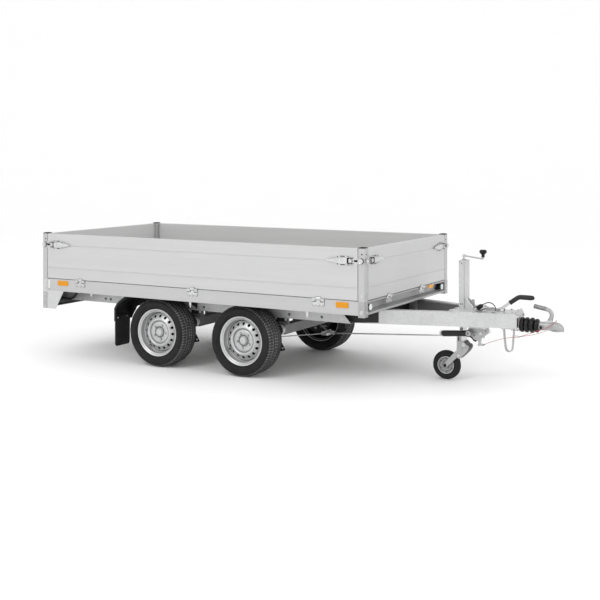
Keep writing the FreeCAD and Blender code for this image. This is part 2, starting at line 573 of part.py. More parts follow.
keep("jockey_rim", turn_y([(8.4, -28), (8.4, 28), (20, 28), (22, 10), (50, 10), (54, 27), (62, 27), (62, -27), (54, -27),
                           (50, -10), (22, -10), (20, -28)], JOCKEY[0], 0, JOCKEY[1]))
cr = fuse(cyl((431, 0, z1), (0, 0, 1), 15, 36),
          rod((431, 0, 902), (574, 0, 886), 6), cyl((574, 0, 878), (0, 0, 1), 7, 20))
keep("jockey_crank", cr)
knob = Part.Face(Part.makePolygon([V(574 + r, 0, z) for r, z in
                                   ((0, 898), (13, 898), (11, 914), (15, 922), (25, 930), (26, 942), (20, 950),
                                    (0, 952), (0, 898))])).revolve(V(574, 0, 0), V(0, 0, 1), 360)
keep("crank_knob", knob)

# ------------------------------------------------------------- relay and rod
RELAY_Y = -88.0
relay = fuse(box(500, 646, -150, 150, 412, 420).cut(box(499, 647, -60, 60, 411, 421)),
             prism_xz([(484, 345), (484, 380), (520, 412), (646, 412), (648, 372), (616, 349), (594, 330), (590, 294),
                       (611, 291), (611, 281), (566, 277), (566, 289), (571, 296), (566, 316), (556, 318),
                       (548, 306), (536, 312), (520, 335)], RELAY_Y, RELAY_Y + 6),
             rod((603, CABLE[0][1], 286.5), CABLE[0], 3.2),
             cyl((588, RELAY_Y - 6, 366), (0, 1, 0), 12, 18))
relay_far = fuse(prism_xz([(505, 412), (562, 412), (556, 306), (528, 306)], 80, 86))
relay = relay.Solids
keep("relay_plate", *[s for s in relay if s.CenterOfMass.y < 0],
     *[fuse(s, relay_far) for s in relay if s.CenterOfMass.y > 0])
keep("release_lever", fuse(slot_xz((507, 365), (474, 363), 20, 15, RELAY_Y - 14, RELAY_Y)))
keep("release_grip", slot_xz((310, 350), (484, 363), 19, 18, RELAY_Y - 40, RELAY_Y - 14))
ROD_Y = 75.0
rodlen = fuse(rod((-704, ROD_Y, 240), (545, ROD_Y, 319), 5),
              box(-742, -700, ROD_Y - 60, ROD_Y + 60, 232, 248),
              *[rod((-742, ROD_Y + s * 50, 240), (-742 - 270, s * 440, 252), 4) for s in (-1, 1)])
keep("brake_rod", rodlen)

loop_out = [(738, 412), (749, 290), (758, 256), (770, 246), (790, 246), (802, 256), (811, 300), (820, 412)]
loop_in = [(744.5, 412), (755.4, 291), (763.6, 260), (772.5, 252), (787.5, 252), (796.5, 260), (804.8, 301), (813.5, 412)]
keep("rest_loop", fuse(prism_xz(loop_out + loop_in[::-1], -52, -24),
                       box(734, 824, -90, -24, 412, BAR_Z[0])))

# ------------------------------------------------------------------ export
if __name__ == "__main__":
    lo = [1e9] * 3
    hi = [-1e9] * 3
    for name, shape in parts.items():
        s = shape.copy()
        s.translate(V(SHIFT_X, 0, 0))
        b = s.BoundBox
        for i, (p, q) in enumerate(((b.XMin, b.XMax), (b.YMin, b.YMax), (b.ZMin, b.ZMax))):
            lo[i], hi[i] = min(lo[i], p), max(hi[i], q)
        if not s.isValid():
            print("invalid", name)
        s.exportStep("parts/" + name + ".step")
        print("%-22s %d solid(s) %.0f cm3" % (name, len(s.Solids), s.Volume / 1000))
    print("shift", SHIFT_X, "box", [round(v, 1) for v in lo], [round(v, 1) for v in hi], len(parts), "nodes")
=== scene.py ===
import bpy, bmesh, math, random
from mathutils import Vector, Matrix


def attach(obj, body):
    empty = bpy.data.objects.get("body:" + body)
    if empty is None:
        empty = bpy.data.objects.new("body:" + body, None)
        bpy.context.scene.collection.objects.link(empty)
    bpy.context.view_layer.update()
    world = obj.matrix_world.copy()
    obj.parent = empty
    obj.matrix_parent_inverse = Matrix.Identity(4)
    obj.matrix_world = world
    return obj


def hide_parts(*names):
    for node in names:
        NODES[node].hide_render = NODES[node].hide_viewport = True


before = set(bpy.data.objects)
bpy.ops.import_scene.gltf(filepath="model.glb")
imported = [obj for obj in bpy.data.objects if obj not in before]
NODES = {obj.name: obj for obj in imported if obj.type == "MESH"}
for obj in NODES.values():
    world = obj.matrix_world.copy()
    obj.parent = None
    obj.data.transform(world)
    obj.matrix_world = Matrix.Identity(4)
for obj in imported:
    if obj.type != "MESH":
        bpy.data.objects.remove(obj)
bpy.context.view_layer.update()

# Millimetres while building: X = 0 at the front face of the bed, +X forward,
# +Y to the trailer's left, Z = 0 on the ground.  SX moves that to the row frame.
SX = 880.5
BED_L, HALF_W = 2900.0, 758.0
RAIL_BOT, RAIL_TOP = 532.0, 628.5
BOARD_TOP, BOARD_T = 992.0, 25.0
POST_X, POST_Y = 46.0, 56.0
HUB_X, HUB_Z, WHEEL_Y = (-1043.0, -1809.0), 262.0, 604.0
TYRE_R, ARM_Y = 262.0, 466.0
LATCH_Z, HINGE_Z = 905.0, 628.0
SHAFT_Z = 440.0
JOCKEY, KNEE = (286.0, 108.0), (425.0, 232.0)


def M(p):
    """Millimetres of the bed-front frame to metres of the row frame."""
    return ((p[0] + SX) / 1000.0, p[1] / 1000.0, p[2] / 1000.0)


# ------------------------------------------------------------------ camera
cam = bpy.data.cameras.new("camera")
cam_ob = bpy.data.objects.new("camera", cam)
bpy.context.scene.collection.objects.link(cam_ob)
cam_ob.location = (3.206 + SX / 1000, -7.328, 1.638)
cam_ob.rotation_euler = (math.radians(90), 0, math.radians(29.44))
cam.lens, cam.sensor_width, cam.shift_y, cam.clip_end = 64.38, 36, -0.2437, 100
bpy.context.scene.camera = cam_ob
bpy.context.scene.view_settings.view_transform = "Standard"


# ------------------------------------------------------------------- nodes
class G:
    """A node material: shader with colour, roughness and bump of its own."""

    def __init__(s, name, color=(0.5, 0.5, 0.5), metallic=0.0, rough=0.5, **sockets):
        s.m = bpy.data.materials.new(name)
        s.m.use_nodes = True
        s.t = s.m.node_tree
        s.t.nodes.clear()
        s.out = s.t.nodes.new("ShaderNodeOutputMaterial")
        s.b = s.t.nodes.new("ShaderNodeBsdfPrincipled")
        s.t.links.new(s.b.outputs[0], s.out.inputs[0])
        s.b.inputs["Base Color"].default_value = (*color, 1)
        s.b.inputs["Metallic"].default_value = metallic
        s.b.inputs["Roughness"].default_value = rough
        for k, v in sockets.items():
            s.b.inputs[k.replace("_", " ")].default_value = v
        s.co = s.t.nodes.new("ShaderNodeTexCoord").outputs["Object"]
        s.height = None
        s.m.diffuse_color = (*color, 1)

    def node(s, kind, **kw):
        n = s.t.nodes.new("ShaderNode" + kind)
        for k, v in kw.items():
            if hasattr(n, k):
                setattr(n, k, v)
        return n

    def put(s, a, b):
        s.t.links.new(a, b)

    def stretch(s, scale, rot=(0, 0, 0)):
        n = s.node("Mapping")
        n.inputs["Scale"].default_value = scale
        n.inputs["Rotation"].default_value = rot
        s.put(s.co, n.inputs["Vector"])
        return n.outputs[0]

    def noise(s, scale, vec=None, detail=3.0, rough=0.5, dist=0.0):
        n = s.node("TexNoise")
        n.inputs["Scale"].default_value = scale
        n.inputs["Detail"].default_value = detail
        n.inputs["Roughness"].default_value = rough
        n.inputs["Distortion"].default_value = dist
        s.put(vec or s.co, n.inputs["Vector"])
        return n.outputs["Fac"]

    def voronoi(s, scale, feature="F1", vec=None, out="Distance", rnd=1.0):
        n = s.node("TexVoronoi", feature=feature)
        n.inputs["Scale"].default_value = scale
        n.inputs["Randomness"].default_value = rnd
        s.put(vec or s.co, n.inputs["Vector"])
        return n.outputs[out]

    def wave(s, scale, direction="X", vec=None, dist=0.0, kind="BANDS", profile="SIN"):
        n = s.node("TexWave", wave_type=kind, bands_direction=direction, wave_profile=profile)
        n.inputs["Scale"].default_value = scale
        n.inputs["Distortion"].default_value = dist
        s.put(vec or s.co, n.inputs["Vector"])
        return n.outputs["Fac"]

    def ramp(s, fac, lo, hi, a, b):
        """Maps fac from lo..hi to a..b, numbers or colours."""
        if isinstance(a, tuple):
            n = s.node("ValToRGB")
            n.color_ramp.elements[0].position, n.color_ramp.elements[1].position = lo, hi
            n.color_ramp.elements[0].color, n.color_ramp.elements[1].color = (*a, 1), (*b, 1)
            s.put(fac, n.inputs[0])
            return n.outputs[0]
        n = s.node("MapRange")
        for k, v in zip(("From Min", "From Max", "To Min", "To Max"), (lo, hi, a, b)):
            n.inputs[k].default_value = v
        s.put(fac, n.inputs["Value"])
        return n.outputs[0]

    def math(s, op, a, b=0.5):
        n = s.node("Math", operation=op)
        for i, v in enumerate((a, b)):
            if isinstance(v, (int, float)):
                n.inputs[i].default_value = v
            else:
                s.put(v, n.inputs[i])
        return n.outputs[0]

    def mix(s, fac, a, b):
        n = s.node("Mix", data_type="RGBA")
        for i, v in ((0, fac), (6, a), (7, b)):
            if isinstance(v, (int, float)):
                n.inputs[i].default_value = v
            elif isinstance(v, tuple):
                n.inputs[i].default_value = (*v, 1)
            else:
                s.put(v, n.inputs[i])
        return n.outputs[2]

    def color(s, v):
        s.put(v, s.b.inputs["Base Color"])

    def rough(s, v):
        s.put(v, s.b.inputs["Roughness"])

    def bump(s, height, distance=0.001, strength=1.0, edge=0.0):
        n = s.node("Bump")
        n.inputs["Distance"].default_value = distance
        n.inputs["Strength"].default_value = strength
        s.put(height, n.inputs["Height"])
        if s.height is not None:
            s.put(s.height, n.inputs["Normal"])
        elif edge:
            e = s.node("Bevel", samples=4)
            e.inputs["Radius"].default_value = edge
            s.put(e.outputs[0], n.inputs["Normal"])
        s.height = n.outputs[0]
        s.put(s.height, s.b.inputs["Normal"])


def aluminium(name, grain, tint=(0.56, 0.56, 0.562), metal=0.38):
    """Silver-anodised extrusion; die lines run along the grain axis."""
    g = G(name, tint, metal, 0.42)
    sc = [900.0, 900.0, 900.0]
    sc[grain] = 3.0
    lines = g.noise(1.0, g.stretch(sc), 4, 0.6)
    wide = [26.0, 26.0, 26.0]
    wide[grain] = 0.7
    band = g.noise(1.0, g.stretch(wide), 2, 0.5)
    cloud = g.noise(2.6, None, 4, 0.55)
    lo, hi = tuple(c * 0.93 for c in tint), tuple(min(1, c * 1.05) for c in tint)
    g.color(g.mix(g.ramp(cloud, 0.3, 0.7, 0.0, 0.5), g.ramp(lines, 0.3, 0.7, lo, hi), g.ramp(band, 0.35, 0.65, lo, hi)))
    g.rough(g.math("ADD", g.ramp(lines, 0.3, 0.7, 0.36, 0.46), g.ramp(cloud, 0.3, 0.7, -0.03, 0.06)))
    g.bump(lines, 0.00006, 0.5, edge=0.0008)
    return g.m


def galvanised(name, tint=(0.585, 0.587, 0.59), spangle=70.0, metal=0.6):
    g = G(name, tint, metal, 0.42)
    v = g.voronoi(spangle, "F1", out="Color")
    sep = g.node("SeparateColor")
    g.put(v, sep.inputs[0])
    cloud = g.noise(5.0, None, 5, 0.6)
    run = g.noise(1.0, g.stretch((30, 30, 4)), 3, 0.5)
    f = g.math("ADD", g.ramp(sep.outputs[0], 0, 1, 0.0, 0.45), g.ramp(cloud, 0.3, 0.7, 0.0, 0.5))
    g.color(g.ramp(f, 0.1, 0.9, tuple(c * 0.91 for c in tint), tuple(min(1, c * 1.07) for c in tint)))
    g.rough(g.math("ADD", g.ramp(sep.outputs[1], 0, 1, 0.36, 0.44), g.ramp(run, 0.3, 0.7, -0.02, 0.08)))
    g.bump(g.noise(220.0, None, 3, 0.6), 0.00015, 0.35, edge=0.0009)
    return g.m


def zinc(name, tint=(0.66, 0.662, 0.665)):
    g = G(name, tint, 0.85, 0.32)
    cloud = g.noise(24.0, None, 4, 0.6)
    fine = g.noise(420.0, None, 3, 0.6)
    g.color(g.ramp(cloud, 0.3, 0.7, tuple(c * 0.86 for c in tint), tuple(min(1, c * 1.08) for c in tint)))
    g.rough(g.ramp(fine, 0.3, 0.7, 0.26, 0.42))
    g.bump(fine, 0.00008, 0.5, edge=0.0005)
    return g.m


def paint(name, tint, rough=0.35, metallic=0.0, peel=160.0, coat=0.3, depth=0.00012, edge=0.0008):
    g = G(name, tint, metallic, rough, Coat_Weight=coat, Coat_Roughness=0.2, Specular_IOR_Level=0.5 if max(tint) > 0.1 else 0.25)
    p = g.noise(peel, None, 2, 0.5)
    dust = g.noise(9.0, None, 5, 0.65)
    g.color(g.ramp(dust, 0.35, 0.75, tint, tuple(min(1, c * 1.12 + 0.008) for c in tint)))
    g.rough(g.ramp(dust, 0.3, 0.75, rough - 0.05, rough + 0.12))
    g.bump(p, depth, 0.5, edge=edge)
    return g.m


def plastic(name, tint, rough=0.45, grain=900.0):
    g = G(name, tint, 0.0, rough, Specular_IOR_Level=0.5 if max(tint) > 0.1 else 0.22)
    f = g.voronoi(grain, "F1")
    c = g.noise(14.0, None, 4, 0.6)
    g.color(g.ramp(c, 0.35, 0.75, tint, tuple(min(1, v * 1.25 + 0.006) for v in tint)))
    g.rough(g.ramp(c, 0.3, 0.7, rough - 0.06, rough + 0.1))
    g.bump(f, 0.00012, 0.6, edge=0.0006)
    return g.m


def rubber(name, tint, rough=0.6, spec=0.16):
    g = G(name, tint, 0.0, rough, Specular_IOR_Level=spec)
    f = g.noise(500.0, None, 4, 0.7)
    c = g.noise(11.0, None, 5, 0.65)
    g.color(g.ramp(c, 0.35, 0.75, tint, tuple(min(1, v * 1.5 + 0.006) for v in tint)))
    g.rough(g.ramp(c, 0.3, 0.7, rough - 0.08, rough + 0.12))
    g.bump(f, 0.00016, 0.6)
    return g.m


def lens(name, tint, cell=150.0, rough=0.2, coat=0.12):
    g = G(name, tint, 0.0, rough, Coat_Weight=coat, Coat_Roughness=0.05, Specular_IOR_Level=0.2,
          Transmission_Weight=0.06, Subsurface_Weight=0.2, Subsurface_Scale=0.004)
    w = g.math("MULTIPLY", g.wave(cell, "Z", profile="TRI"), g.wave(cell, "X", profile="TRI"))
    w2 = g.math("ADD", w, g.math("MULTIPLY", g.wave(cell, "Y", profile="TRI"), 0.6))
    g.color(g.ramp(w2, 0.0, 1.3, tuple(c * 0.72 for c in tint), tuple(min(1, c * 1.18 + 0.02) for c in tint)))
    g.rough(g.ramp(w2, 0.0, 1.3, rough, rough + 0.14))
    g.bump(w2, 0.0005, 0.5)
    return g.m


def plywood(name):
    """Film-faced board: grey-brown film with a pressed wire-mesh grip pattern."""
    g = G(name, (0.24, 0.225, 0.205), 0.0, 0.45)
    v = g.stretch((170, 170, 170), (0, 0, math.radians(30)))
    mesh = g.voronoi(1.0, "DISTANCE_TO_EDGE", vec=v, rnd=0.0)
    wire = g.ramp(mesh, 0.05, 0.16, 0.0, 1.0)
    cloud = g.noise(4.0, None, 5, 0.65)
    wear = g.noise(1.0, g.stretch((3, 18, 3)), 4, 0.6)
    g.color(g.mix(g.ramp(wear, 0.5, 0.8, 0.0, 0.35), g.ramp(cloud, 0.3, 0.7, (0.20, 0.19, 0.175), (0.27, 0.255, 0.235)),
                  (0.34, 0.325, 0.30)))
    g.rough(g.math("ADD", g.ramp(wire, 0, 1, 0.32, 0.5), g.ramp(cloud, 0.3, 0.7, -0.05, 0.1)))
    g.bump(wire, 0.0006, 0.8)
    return g.m


MAT = {
    "alu_x": aluminium("anodised_along_x", 0),
    "alu_y": aluminium("anodised_along_y", 1),
    "alu_z": aluminium("anodised_along_z", 2, (0.49, 0.49, 0.492)),
    # left board: lighter copy of the aluminium, painted light that lifts its shaded inner face
    "alu_far": aluminium("anodised_far_painted_light", 0, (0.66, 0.66, 0.662)),
    "alu_rail": aluminium("anodised_rail", 0, (0.50, 0.50, 0.502)),
    # tail board: lighter copy of the aluminium, painted light on its inner face that faces away from the lamps
    "alu_rear": aluminium("anodised_tail_board_painted_light", 1, (0.70, 0.70, 0.702)),
    # end rails: darker copy of the aluminium as painted shade
    "alu_end": aluminium("anodised_end_rail_painted_shade", 1, (0.40, 0.40, 0.402)),
    "galv_beam": galvanised("galvanised_beam", (0.49, 0.492, 0.494)),
    # lighter silver of the flange, also used for painted highlight rings on the disc
    "silver_rim": paint("silver_lacquer_flange_and_painted_highlight", (0.52, 0.522, 0.525), 0.34, 0.6, 300.0, 0.35, 0.00005),
    "galv": galvanised("hot_dip_galvanised"),
    # dark copy of the galvanised finish: painted shade on the axle tubes, the rear lamp panel and the beam webs
    "galv_dark": galvanised("galvanised_painted_shade", (0.17, 0.17, 0.172), 55.0, 0.4),
    "galv_mid": galvanised("galvanised_aged", (0.42, 0.42, 0.422), 60.0),
    "zinc": zinc("bright_zinc"),
    "zinc_dark": zinc("zinc_shaded", (0.16, 0.16, 0.162)),
    "steel_black": paint("satin_black_steel", (0.012, 0.012, 0.012), 0.38, coat=0.1),
    "silver": paint("silver_lacquer", (0.46, 0.462, 0.465), 0.38, 0.72, 300.0, 0.35, 0.00005),
    "plastic": plastic("moulded_black", (0.010, 0.010, 0.0102)),
    "plastic_gloss": plastic("moulded_black_smooth", (0.012, 0.012, 0.0122), 0.25, 400.0),
    "rubber": rubber("rubber_satin", (0.013, 0.013, 0.0132), 0.42, 0.3),
    "tyre_side": rubber("tyre_sidewall", (0.013, 0.013, 0.0132), 0.62),
    "tyre_tread": rubber("tyre_tread", (0.050, 0.050, 0.0505), 0.7),
    "tyre_edge": rubber("tyre_shoulder", (0.050, 0.050, 0.0505), 0.7),
    # light grey floor between the tread blocks: painted highlight on the groove edges
    "tyre_groove": rubber("tyre_groove_painted_highlight", (0.30, 0.30, 0.296), 0.9),
    # dark silver: painted shade in the creases of the wheel
    "silver_shade": paint("silver_lacquer_painted_shade", (0.15, 0.151, 0.153), 0.4, 0.6, 300.0, 0.2, 0.00005),
    "amber": lens("amber_prism", (0.95, 0.34, 0.004)),
    "white_lens": lens("clear_lens", (0.84, 0.85, 0.86), 120.0),
    "red_lens": lens("red_lens", (0.55, 0.012, 0.01), 110.0),
    "orange_lens": lens("indicator_lens", (0.9, 0.25, 0.01), 110.0),
    "ply": plywood("film_faced_ply"),
    "red": paint("red_moulding", (0.16, 0.006, 0.006), 0.3, 0.0, 120.0, 0.5),
    "plate": paint("blank_plate", (0.78, 0.78, 0.76), 0.32),
    # white tone, also used as a painted highlight at the rear rail end
    "white": plastic("white_tone_and_painted_highlight", (0.62, 0.62, 0.60), 0.5, 500.0),
    "cable": paint("coated_wire", (0.30, 0.004, 0.003), 0.45, 0.0, 900.0, 0.1, 0.0002, 0.0),
    "lead": rubber("lead_sheath", (0.016, 0.016, 0.017), 0.42),
}


# -------------------------------------------------------------- mesh maker
def basis(d):
    d = Vector(d).normalized()
    a = Vector((0, 0, 1)) if abs(d.z) < 0.9 else Vector((1, 0, 0))
    u = d.cross(a).normalized()
    return u, d.cross(u).normalized(), d


class Mesh:
    """Collects faces in millimetres of the bed-front frame, each with a material."""

    def __init__(s):
        s.v, s.f, s.m = [], [], []

    def add(s, verts, faces, mat):
        o = len(s.v)
        s.v += [tuple(p) for p in verts]
        s.f += [tuple(i + o for i in q) for q in faces]
        s.m += [mat] * len(faces)
        return s

    def merge(s, other, mat4=None, flip=False):
        o = len(s.v)
        s.v += [tuple(mat4 @ Vector(p)) if mat4 is not None else p for p in other.v]
        s.f += [tuple(i + o for i in (q[::-1] if flip else q)) for q in other.f]
        s.m += list(other.m)
        return s

    def mirror(s, other):
        """other and its mirror image across the trailer's middle."""
        s.merge(other)
        return s.merge(other, Matrix.Diagonal((1, -1, 1, 1)), flip=True)

    def slab(s, outline, origin, u, v, w, t, mat, b=0.6):
        """Plate: outline of (u, v) pairs, thickness t along w, edges chamfered by b."""
        o, u, v, w = Vector(origin), Vector(u), Vector(v), Vector(w)
        n = len(outline)
        area = sum(outline[i][0] * outline[(i + 1) % n][1] - outline[(i + 1) % n][0] * outline[i][1] for i in range(n))
        pts = outline if area > 0 else outline[::-1]
        if u.cross(v).dot(w) < 0:
            pts = pts[::-1]
        ins = []
        for i in range(n):
            p0, p1, p2 = Vector((*pts[i - 1], 0)), Vector((*pts[i], 0)), Vector((*pts[(i + 1) % n], 0))
            a, c = (p1 - p0).normalized(), (p2 - p1).normalized()
            na, nc = Vector((-a.y, a.x, 0)), Vector((-c.y, c.x, 0))
            m = na + nc
            q = m.length_squared / 2
            k = m / max(q, 0.25)
            sg = 1 if u.cross(v).dot(w) > 0 else -1
            ins.append((p1.x + sg * k.x * b, p1.y + sg * k.y * b))
        rings = [(ins, 0.0), (pts, min(b, t * 0.45)), (pts, t - min(b, t * 0.45)), (ins, t)]
        verts = [o + u * x + v * y + w * h for ring, h in rings for x, y in ring]
        faces = [tuple(range(n))[::-1], tuple(3 * n + i for i in range(n))]
        for k in range(3):
            for i in range(n):
                j = (i + 1) % n
                faces.append((k * n + i, k * n + j, (k + 1) * n + j, (k + 1) * n + i))
        return s.add(verts, faces, mat)

    def box(s, x0, x1, y0, y1, z0, z1, mat, b=0.8):
        b = min(b, (x1 - x0) * 0.3, (y1 - y0) * 0.3, (z1 - z0) * 0.3)
        return s.slab([(x0, y0), (x1, y0), (x1, y1), (x0, y1)], (0, 0, z0), (1, 0, 0), (0, 1, 0), (0, 0, 1), z1 - z0, mat, b)

    def xz(s, pts, y0, y1, mat, b=0.6):
        return s.slab(pts, (0, y0, 0), (1, 0, 0), (0, 0, 1), (0, 1, 0), y1 - y0, mat, b)

    def yz(s, pts, x0, x1, mat, b=0.6):
        return s.slab(pts, (x0, 0, 0), (0, 1, 0), (0, 0, 1), (1, 0, 0), x1 - x0, mat, b)

    def xy(s, pts, z0, z1, mat, b=0.6):
        return s.slab(pts, (0, 0, z0), (1, 0, 0), (0, 1, 0), (0, 0, 1), z1 - z0, mat, b)

    def turn(s, profile, origin, axis, mat, seg=32, closed=False, mats=None):
        """Solid of revolution; profile rows are (radius, distance along axis)."""
        o = Vector(origin)
        u, v, d = basis(axis)
        n = len(profile)
        verts, idx = [], []
        for r, t in profile:
            if r < 1e-6:
                idx.append([len(verts)] * seg)
                verts.append(o + d * t)
            else:
                idx.append(list(range(len(verts), len(verts) + seg)))
                verts += [o + d * t + (u * math.cos(2 * math.pi * k / seg) + v * math.sin(2 * math.pi * k / seg)) * r
                          for k in range(seg)]
        base = len(s.v)
        s.v += [tuple(p) for p in verts]
        for i in range(n if closed else n - 1):
            a, b = idx[i], idx[(i + 1) % n]
            mm = mats[i] if mats else mat
            for k in range(seg):
                q = [a[k], a[(k + 1) % seg], b[(k + 1) % seg], b[k]]
                q = [x for j, x in enumerate(q) if x != q[j - 1]]
                if len(q) > 2:
                    s.f.append(tuple(x + base for x in q))
                    s.m.append(mm)
        return s

    def cyl(s, a, b, r, mat, seg=24, ch=0.8, r2=None):
        a, b = Vector(a), Vector(b)
        h = (b - a).length
        r2 = r if r2 is None else r2
        ch = min(ch, r * 0.4, h * 0.4)
        return s.turn([(0, 0), (r - ch, 0), (r, ch), (r2, h - ch), (r2 - ch, h), (0, h)], a, b - a, mat, seg)

    def hexbolt(s, p, d, af, h, mat, washer=True):
        """Hexagon head with a washer, standing on p along d."""
        p = Vector(p)
        u, v, w = basis(d)
        r = af / 1.732
        if washer:
            s.cyl(p, p + w * 1.6, af * 1.02, mat, 20, 0.4)
            p = p + w * 1.6
        hx = [(r * math.cos(math.radians(60 * k)), r * math.sin(math.radians(60 * k))) for k in range(6)]
        s.slab(hx, p, u, v, w, h, mat, 0.7)
        return s.cyl(p + w * h * 0.9, p + w * (h + 1.0), af * 0.36, mat, 14, 0.4)

    def dome(s, p, d, r, h, mat, seg=18):
        return s.turn([(r, 0), (r * 0.96, h * 0.35), (r * 0.78, h * 0.72), (r * 0.45, h * 0.94), (0, h)], p, d, mat, seg)

    def tube(s, pts, r, mat, seg=14, caps=True, flat=None, smooth=0):
        """Round bar along points; r may be a list.  flat=(a, b, up) makes it a flat bar a by b."""
        P = [Vector(p) for p in pts]
        rs = r if isinstance(r, (list, tuple)) else [r] * len(P)
        for _ in range(smooth):
            Q, R = [P[0]], [rs[0]]
            for a, b, ra, rb in zip(P, P[1:], rs, rs[1:]):
                Q += [a.lerp(b, 0.25), a.lerp(b, 0.75)]
                R += [ra * 0.75 + rb * 0.25, ra * 0.25 + rb * 0.75]
            P, rs = Q + [P[-1]], R + [rs[-1]]
        n = len(P)
        t0 = (P[1] - P[0]).normalized()
        u = Vector(flat[2]) if flat else basis(t0)[0]
        rings = []
        for i in range(n):
            t = ((P[min(i + 1, n - 1)] - P[max(i - 1, 0)])).normalized()
            u = (u - t * u.dot(t)).normalized()
            v = t.cross(u)
            ring = []
            for k in range(seg):
                a = 2 * math.pi * k / seg
                c, q = math.cos(a), math.sin(a)
                if flat:
                    e = 0.35
                    x = math.copysign(abs(c) ** e, c) * flat[0] / 2
                    y = math.copysign(abs(q) ** e, q) * flat[1] / 2
                    ring.append(P[i] + v * x * rs[i] + u * y * rs[i])
                else:
                    ring.append(P[i] + (u * c + v * q) * rs[i])
            rings.append(ring)
        verts = [p for ring in rings for p in ring]
        faces = [(i * seg + k, i * seg + (k + 1) % seg, (i + 1) * seg + (k + 1) % seg, (i + 1) * seg + k)
                 for i in range(n - 1) for k in range(seg)]
        if caps:
            faces += [tuple(range(seg))[::-1], tuple((n - 1) * seg + k for k in range(seg))]
        return s.add(verts, faces, mat)

    def loft(s, sections, mat, cap=True):
        """Skin over rings of equal length."""
        n = len(sections[0])
        verts = [p for ring in sections for p in ring]
        faces = [(i * n + k, i * n + (k + 1) % n, (i + 1) * n + (k + 1) % n, (i + 1) * n + k)
                 for i in range(len(sections) - 1) for k in range(n)]
        if cap:
            faces += [tuple(range(n))[::-1], tuple((len(sections) - 1) * n + k for k in range(n))]
        return s.add(verts, faces, mat)

    def make(s, name, body, angle=32, sub=0, replaces=(), slot=None, fix=True):
        me = bpy.data.meshes.new(name)
        used = sorted(set(s.m))
        me.from_pydata([M(p) for p in s.v], [], s.f)
        for k in used:
            me.materials.append(MAT[k])
        ix = {k: i for i, k in enumerate(used)}
        me.polygons.foreach_set("material_index", [ix[k] for k in s.m])
        me.update()
        if fix:
            bm = bmesh.new()
            bm.from_mesh(me)
            bmesh.ops.remove_doubles(bm, verts=bm.verts, dist=1e-6)
            bmesh.ops.recalc_face_normals(bm, faces=bm.faces)
            bm.to_mesh(me)
            bm.free()
        me.polygons.foreach_set("use_smooth", [True] * len(me.polygons))
        me.set_sharp_from_angle(angle=math.radians(angle))
        ob = bpy.data.objects.new(name, me)
        bpy.context.scene.collection.objects.link(ob)
        if sub:
            md = ob.modifiers.new("sub", "SUBSURF")
            md.levels = md.render_levels = sub
            bpy.context.view_layer.update()
            dg = bpy.context.evaluated_depsgraph_get()
            done = bpy.data.meshes.new_from_object(ob.evaluated_get(dg))
            ob.modifiers.clear()
            ob.data = done
            done.polygons.foreach_set("use_smooth", [True] * len(done.polygons))
        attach(ob, body)
        if replaces:
            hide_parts(*replaces)
        return ob


def arc(cx, cy, r, a0, a1, n=8):
    return [(cx + r * math.cos(math.radians(a0 + (a1 - a0) * i / n)), cy + r * math.sin(math.radians(a0 + (a1 - a0) * i / n)))
            for i in range(n + 1)]


def rounded(x0, x1, y0, y1, r, n=5):
    return (arc(x1 - r, y1 - r, r, 0, 90, n) + arc(x0 + r, y1 - r, r, 90, 180, n) +
            arc(x0 + r, y0 + r, r, 180, 270, n) + arc(x1 - r, y0 + r, r, 270, 360, n))


def capsule(ax, ay, bx, by, ra, rb, n=10):
    """Outline with round ends about two points."""
    d = math.hypot(bx - ax, by - ay)
    th = math.degrees(math.atan2(by - ay, bx - ax))
    q = math.degrees(math.acos((ra - rb) / d))
    return arc(bx, by, rb, th - q, th + q, n) + arc(ax, ay, ra, th + q, th + 360 - q, n)


# ------------------------------------------------------------------- cords
LEAD = [(598, -65, 569), (620.9, -65, 585.1), (654.9, -65, 586.8), (680.3, -65, 570.9), (690.4, -65, 549.2),
        (690.4, -65, 531)]
CABLE = [(618, -85, 293), (668, -86, 314.5), (718, -84.5, 333), (768, -79, 347), (817, -67, 356), (862, -45, 361),
         (905, -15, 366), (948, 17, 374), (990, 42, 388), (1030, 54, 408), (1064, 55, 435), (1088, 46, 464),
         (1103, 24, 483), (1106, -6, 486), (1099, -32, 475), (1080, -49, 454), (1046, -56, 433), (1002, -58, 415),
         (956, -59, 398.5), (909.6, -57, 379.3), (872, -57, 365.5)]


def nurbs(name, pts, d, mat):
    cu = bpy.data.curves.new(name, "CURVE")
    cu.dimensions = "3D"
    cu.resolution_u = 12
    sp = cu.splines.new("NURBS")
    sp.points.add(len(pts) - 1)
    for p, q in zip(sp.points, pts):
        p.co = (*M(q), 1)
    sp.order_u = 3
    sp.use_endpoint_u = True
    ob = bpy.data.objects.new(name, cu)
    bpy.context.scene.collection.objects.link(ob)
    bpy.context.view_layer.update()
    line = bpy.data.meshes.new_from_object(ob.evaluated_get(bpy.context.evaluated_depsgraph_get()))
    path = [v.co.copy() for v in line.vertices]
    cu.bevel_depth = d / 2000.0
    cu.bevel_resolution = 3
    cu.use_fill_caps = True
    cu.materials.append(MAT[mat])
    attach(ob, "chassis")
    return ob, path


lead, lead_path = nurbs("plug_lead_sheath", LEAD[::-1], 7.0, "lead")
cable, cable_path = nurbs("breakaway_wire", CABLE, 3.0, "cable")
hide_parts("plug_lead")
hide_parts("breakaway_cable")


